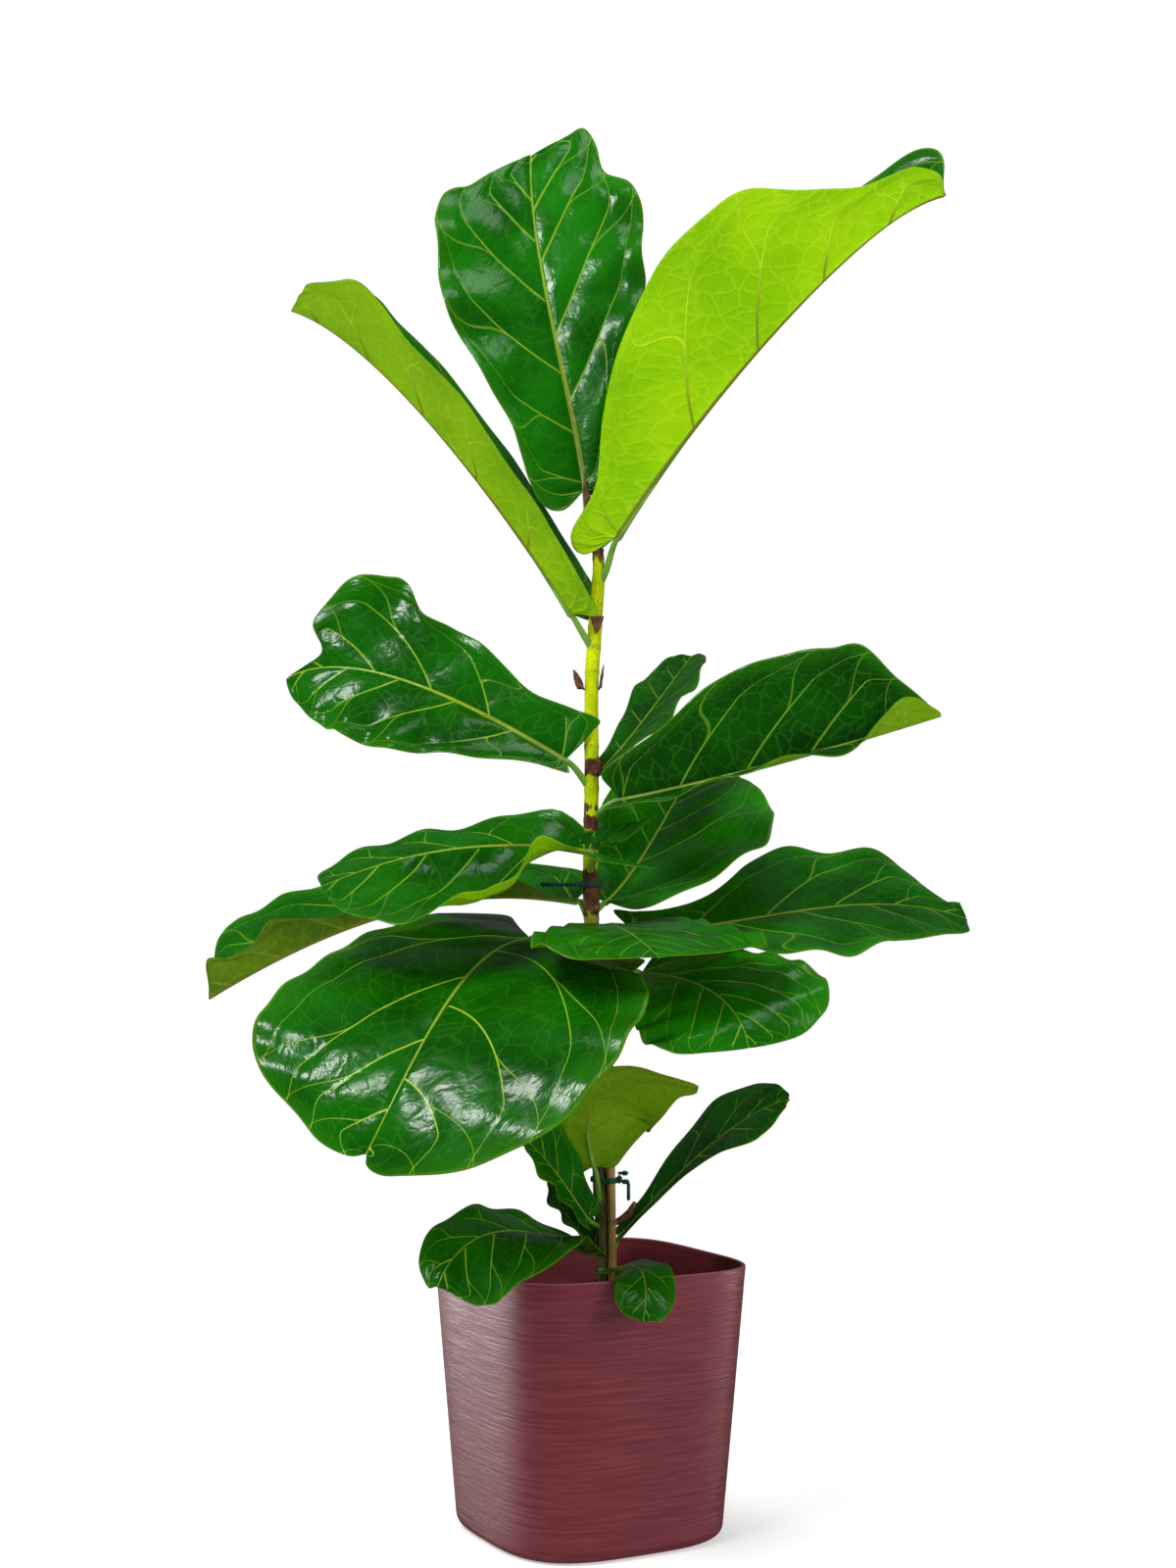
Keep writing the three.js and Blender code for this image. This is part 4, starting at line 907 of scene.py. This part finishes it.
def make_stem():
    z = np.arange(STEM_FOOT, STEM_TOP + RING_STEP, RING_STEP)
    ring = peaks(z, [(node, NODE_WIDTH, 1) for node in NODE_HEIGHTS])
    bumps = tube_noise(STEM_SIDES, 1.3, z / 22)
    radii = (stem_radius(z) * (1 + NODE_SWELL * ring))[:, None] * (1 + STEM_UNEVENNESS * bumps)
    points, faces = tube(stem_point(z), radii, STEM_SIDES)
    fields = {"height": z / 1000, "ring": ring, "husk": peaks(z, HUSKS)}
    attributes = {key: tube_values(values, STEM_SIDES) for key, values in fields.items()}
    add_piece("stem_wood", "stem", turned(points), faces, [stem_skin()], attributes=attributes)


def bamboo():
    m = Nodes("bamboo")
    streaks = m.noise(m.vector(scale=(1, 1, 0.05)), 900, 4, 0.6)
    blotches = m.noise(m.vector(scale=(1, 1, 0.3)), 70, 4)
    color = m.mix(m.ramp(streaks, 0.3, 0.7), (0.2, 0.11, 0.035), (0.4, 0.25, 0.09))
    color = m.tint(color, m.ramp(blotches, 0.5, 0.75), 0.6, (0.1, 0.05, 0.02))
    color = m.mix(m.attribute("ring"), color, (0.12, 0.07, 0.03))
    return m.finish(color, 0.42, m.bump(streaks, 0.0004))


STAKE_FOOT = 150
STAKE_LENGTH = 280
STAKE_RADIUS = 3.4
STAKE_NODES = (186, 248, 322, 392)
STAKE_SIDES = 24


def stake_line(z):
    """How far up the leaning stake a height is, as a share, and the stake's x and y there."""
    share = (z - STAKE_FOOT) / STAKE_LENGTH
    return share, 21 - 4 * share, -10 - 2 * share


def make_stake():
    z = np.arange(STAKE_FOOT, STAKE_FOOT + STAKE_LENGTH + 0.5, RING_STEP)
    share, x, y = stake_line(z)
    ring = peaks(z, [(node, 1.6, 1) for node in STAKE_NODES])
    groove = peaks(z, [(node + 3.5, 1.3, 1) for node in STAKE_NODES])
    radii = STAKE_RADIUS + 0.55 * ring - 0.25 * groove - 0.25 * share
    points, faces = tube(np.stack([x, y, z], -1), radii, STAKE_SIDES)
    attributes = {"ring": tube_values(ring, STAKE_SIDES)}
    add_piece("stake_bamboo", "stake", turned(points), faces, [bamboo()], attributes=attributes)


def tie_plastic():
    m = Nodes("tie_plastic")
    place = m.vector()
    color = m.mix(m.ramp(m.noise(place, 120, 3), 0.3, 0.7), (0.006, 0.03, 0.02), (0.015, 0.07, 0.045))
    return m.finish(color, 0.38, m.bump(m.noise(place, 900, 3), 0.0003))


BAND_HEIGHT = 4
BAND_THICKNESS = 1.5
BAND_GAP = 0.5
# The band's section: shares of its thickness outwards and of its height upwards.
BAND_SECTION = [(0.2, -0.5), (0, -0.35), (0, 0.35), (0.2, 0.5), (0.8, 0.5), (1, 0.35), (1, -0.35),
                (0.8, -0.5)]


def band(rods, z):
    """A flat band with rounded edges pulled tight round upright rods (x, y, radius)."""
    out = np.stack([np.cos(circle(96)), np.sin(circle(96))], -1)
    reach = np.stack([out @ np.array(rod[:2]) + rod[2] for rod in rods])
    chosen = np.array(rods)[reach.argmax(0)]
    loops = []
    for across, up in BAND_SECTION:
        loop = chosen[:, :2] + out * (chosen[:, 2:] + (BAND_GAP + BAND_THICKNESS * across))
        loops.append(np.column_stack([loop, np.full(len(loop), z + up * BAND_HEIGHT)]))
    return np.stack(loops, 1).reshape(-1, 3), ring_quads(len(out), len(loops), closed=True)


def rounded_block(centre, size, start):
    shell = bmesh.new()
    bmesh.ops.create_cube(shell, size=1)
    bmesh.ops.scale(shell, vec=size, verts=shell.verts)
    bmesh.ops.bevel(shell, geom=shell.edges[:], offset=0.28 * min(size), segments=3, affect="EDGES")
    shell.verts.index_update()
    points = np.array([v.co[:] for v in shell.verts]) + centre
    faces = [tuple(v.index + start for v in f.verts) for f in shell.faces]
    shell.free()
    return points, faces


def make_tie(name, rods, z, blocks, material):
    """A band with the rounded blocks (centre, size) of its buckle and its tail."""
    points, faces = band(rods, z)
    for centre, size in blocks:
        more, its = rounded_block(centre, size, len(points))
        points = np.concatenate([points, more])
        faces += its
    add_piece(name + "_band", name, turned(points), faces, [material])


LOWER_TIE_HEIGHT = 281
UPPER_TIE_HEIGHT = 524
BUCKLE_REACH = 5.1
# The upper tie's ladder tail: its slack round the stem, its length, and its rungs.
TAIL_SLACK = 2.2
TAIL_LENGTH = 37.6
TAIL_RUNGS = 9
RUNG_STEP = 3.9
# The lower tie's blocks: how far right of the stake's side and above the band, and their sizes.
BUCKLE_BLOCKS = [
    (1.5, 1, (4.8, 4.8, 6.8)), (6, 6, (5.8, 3.8, 3.8)), (3, 6, (5.8, 2.8, 2.3)),
    (6.5, -1, (6.8, 3.8, 3.8)), (9, -9, (2.8, 3.3, 14.8)), (9, -6, (3.0, 3.5, 1.6)),
    (9, -11, (3.0, 3.5, 1.6)),
]


def make_ties(material):
    z = LOWER_TIE_HEIGHT
    stem_x, stem_y, _ = stem_point(z)
    _, stake_x, stake_y = stake_line(z)
    side = stake_x + BUCKLE_REACH
    blocks = [((side + right, stake_y, z + up), size) for right, up, size in BUCKLE_BLOCKS]
    rods = [(stem_x, stem_y, float(stem_radius(z))), (stake_x, stake_y, 3.5)]
    make_tie("tie_lower", rods, z, blocks, material)
    z = UPPER_TIE_HEIGHT
    stem_x, stem_y, _ = stem_point(z)
    outer = float(stem_radius(z)) + TAIL_SLACK
    start, y = stem_x - 4, stem_y - outer - 1.2
    blocks = [((start - 19, y, z), (TAIL_LENGTH, 1.5, 2.7))]
    blocks += [((start - 4 - k * RUNG_STEP, y, z), (1.8, 2.4, 5.0)) for k in range(TAIL_RUNGS)]
    make_tie("tie_upper", [(stem_x, stem_y, outer)], z, blocks, material)


# The papery scales: lowest and highest, first and last angle round the stem in degrees, how far
# the top stands off, how pointed the top is, and how pointed the bottom.
SCALES = {
    "scale_1": (503, 530, -150, -5, 0.6, 0.25, 0),
    "scale_2": (553, 571, 200, 330, 2, 0.6, 0),
    "scale_3": (616, 632, -100, -15, 2.5, 0.7, 0),
    "scale_4": (688, 706, 140, 215, 9, 0.9, 0),
    "scale_5": (688, 710, -35, 30, 3, 0.9, 0),
    "scale_6": (734, 750, 225, 345, 0.4, 0, 0.9),
    "scale_7": (795, 808, 235, 335, 0.4, 0, 0.9),
}
SCALE_THICKNESS = 0.55


def dry_scale():
    m = Nodes("dry_scale")
    fibres = m.noise(m.vector(scale=(1, 1, 0.1)), 700, 4, 0.65)
    blotches = m.noise(m.vector(), 130, 4)
    color = m.mix(m.ramp(fibres, 0.35, 0.65), (0.05, 0.018, 0.008), (0.17, 0.07, 0.03))
    color = m.tint(color, m.ramp(blotches, 0.5, 0.7), 0.6, (0.25, 0.14, 0.06))
    return m.finish(color, 0.75, m.bump(m.math("ADD", fibres, blotches), 0.0015))


def make_scale(name, form, material):
    """A thin shell that hugs the stem and stands off it towards its ragged top."""
    low, high, begin, end, flare, point, keel = form
    rows, columns = 14, 26
    outer, inner = [], []
    for i in range(rows + 1):
        share = i / rows
        for j in range(columns + 1):
            q = j / columns
            middle = 1 - abs(2 * q - 1)
            ragged = 1 - 0.12 * abs(noise.noise(Vector((q * 7, low / 10, 0)))) * share
            rise = share * (1 - point * (1 - middle)) * ragged
            z = low + (high - low) * (rise + (1 - rise) * keel * (1 - middle))
            angle = math.radians(begin + (end - begin) * q)
            reach = float(stem_radius(z)) + 0.55 + flare * share ** 2
            reach += 0.25 * noise.noise(Vector((q * 9, share * 5, high / 10)))
            x, y, _ = stem_point(z)
            for sheet_points, off in ((inner, 0.0), (outer, SCALE_THICKNESS)):
                away = reach + off
                sheet_points.append((x + away * math.cos(angle), y + away * math.sin(angle), z))
    sheet = len(outer)
    faces, _ = sheet_faces(np.arange(sheet).reshape(rows + 1, columns + 1), sheet)
    for j in range(columns):
        faces.append((j, j + sheet, j + 1 + sheet, j + 1))
        a = sheet - 1 - columns + j
        faces.append((a, a + 1, a + 1 + sheet, a + sheet))
    add_piece(name + "_paper", name, turned(outer + inner), faces, [material])


def make_twig(name, node, path, radii, shape, material):
    """A short tube through a few points, its radii shaped by a factor for each point of its rings."""
    rings, sides = shape.shape
    q = np.linspace(0, 1, rings)
    points, faces = tube(along(path, q), along(radii, q)[:, None] * shape, sides)
    add_piece(name, node, turned(points), faces, [material])


BUD_PATH = [[1, 4, 841], [0, 5, 850], [-2, 5, 862], [-3, 4, 875]]
BUD_RADII = [3, 3.2, 2.2, 0.3]
BUD_TWIST = 3
STUB_PATH = [[19, 0, 244.5], [24, 1, 246], [33, 1, 252], [39, 1, 262]]
STUB_RADII = [2.5, 2.6, 3.1, 1.7]


# ---- The object ----

leaf_materials = [leaf_top(), leaf_under(), stalk_skin()]
for leaf_name, leaf_form in LEAVES.items():
    make_leaf(leaf_name, leaf_form, leaf_materials)
pot = make_pot()
make_soil()
make_chips()
make_stem()
make_stake()
make_ties(tie_plastic())
scale_material = dry_scale()
for scale_name, scale_form in SCALES.items():
    make_scale(scale_name, scale_form, scale_material)
bud_folds = 1 + 0.1 * np.cos(2 * circle(20) + BUD_TWIST * np.linspace(0, 1, 24)[:, None])
make_twig("bud_sheath", "bud", BUD_PATH, BUD_RADII, bud_folds, scale_material)
stub_lumps = 1 + 0.18 * tube_noise(16, 1, np.arange(20) / 3)
make_twig("stub_wood", "stub", STUB_PATH, STUB_RADII, stub_lumps, scale_material)


# ---- Stage, light and camera, in metres ----

FLOOR_REACH = 2.4
FLOOR_LIT_REACH = 0.5
WHITE = (1, 1, 1)


def stage_material():
    """Lit floor round the pot that turns into plain white glow further out."""
    m = Nodes("pale_floor")
    reach = m.node("VectorMath", {0: m.vector(scale=(1, 1, 0))}, operation="LENGTH").outputs["Value"]
    far = m.ramp(reach, FLOOR_LIT_REACH, FLOOR_REACH * 0.8)
    m.link(m.ramp(far, 0, 1, 0.42, 1.0), m.shader.inputs["Emission Strength"])
    color = m.mix(far, (0.8, 0.8, 0.8), (0, 0, 0))
    return m.finish(color, 0.9, Emission_Color=WHITE, Specular_IOR_Level=0.1)


def make_floor():
    bpy.ops.mesh.primitive_circle_add(vertices=96, radius=FLOOR_REACH, fill_type="NGON",
                                      location=(0, 0, -0.0005))
    floor = bpy.context.object
    floor.name = "floor"
    floor.data.materials.append(stage_material())
    floor.visible_glossy = False


def make_backdrop():
    """A white dome round the studio that only the camera sees, so that it adds no light or gloss."""
    m = Nodes("white_backdrop")
    bpy.ops.mesh.primitive_uv_sphere_add(segments=64, ring_count=32, radius=9)
    dome = bpy.context.object
    dome.name = "backdrop"
    dome.data.materials.append(m.finish((0, 0, 0), 1.0, Emission_Color=WHITE, Emission_Strength=1.0))
    for seen_by in ("diffuse", "glossy", "transmission", "shadow"):
        setattr(dome, "visible_" + seen_by, False)


def area_light(name, place, aim_height, size, power, gloss=False, only=None):
    """A soft light aimed at the plant's axis, for diffuse light or for gloss, perhaps on one piece."""
    light = bpy.data.lights.new(name, "AREA")
    light.shape = "RECTANGLE"
    light.size, light.size_y = size
    light.energy = power
    lamp = bpy.data.objects.new(name, light)
    bpy.context.scene.collection.objects.link(lamp)
    lamp.visible_camera = False
    lamp.visible_glossy = gloss
    lamp.visible_diffuse = not gloss
    lamp.location = turned(np.array(place) * 1000)
    aim = Vector((0, 0, aim_height)) - lamp.location
    lamp.rotation_euler = aim.to_track_quat("-Z", "Y").to_euler()
    if only is not None:
        receivers = bpy.data.collections.new(name + "_receivers")
        receivers.objects.link(only)
        lamp.light_linking.receiver_collection = receivers


make_floor()
make_backdrop()
area_light("key", (-1.15, -1.3, 2.4), 0.5, (0.9, 0.9), 60)
area_light("fill", (2.0, -1.4, 1.3), 0.6, (1.0, 1.4), 26)
area_light("top", (-0.3, 0.6, 2.8), 0.5, (1.2, 1.2), 42)
area_light("side", (-2.2, -0.2, 0.6), 0.3, (0.6, 1.2), 20)
area_light("low", (0.9, -2.1, 0.7), 0.25, (1.0, 0.6), 12)
area_light("gloss", (-1.32, -1.22, 2.2), 0.4, (0.5, 0.4), 23, gloss=True)
area_light("sheen", (0.2, -0.9, 2.8), 0.5, (0.9, 0.7), 9, gloss=True)
area_light("left_gloss", (-1.8, 0.6, 0.1), 0.1, (1.3, 0.2), 42, gloss=True, only=pot)
area_light("right_gloss", (1.7, 0.1, 0.12), 0.1, (0.4, 0.4), 14, gloss=True, only=pot)

world = bpy.data.worlds.new("studio")
world.use_nodes = True
background = world.node_tree.nodes["Background"]
background.inputs["Color"].default_value = (*WHITE, 1)
background.inputs["Strength"].default_value = 0.1
bpy.context.scene.world = world

bpy.context.scene.view_settings.view_transform = "Standard"

# The camera fitted to the pot's rim and base: its place, pitch, and focal length over image height.
CAMERA_PLACE = (0, -1735, 475)
CAMERA_PITCH = 4.4
CAMERA_FOCAL = 2117 / 1600

camera_data = bpy.data.cameras.new("camera")
camera_data.sensor_width = 36
camera_data.lens = camera_data.sensor_width * CAMERA_FOCAL
camera = bpy.data.objects.new("camera", camera_data)
bpy.context.scene.collection.objects.link(camera)
camera.location = turned(CAMERA_PLACE)
camera.rotation_euler = (math.radians(90 + CAMERA_PITCH), 0, PLANT_TURN)
bpy.context.scene.camera = camera
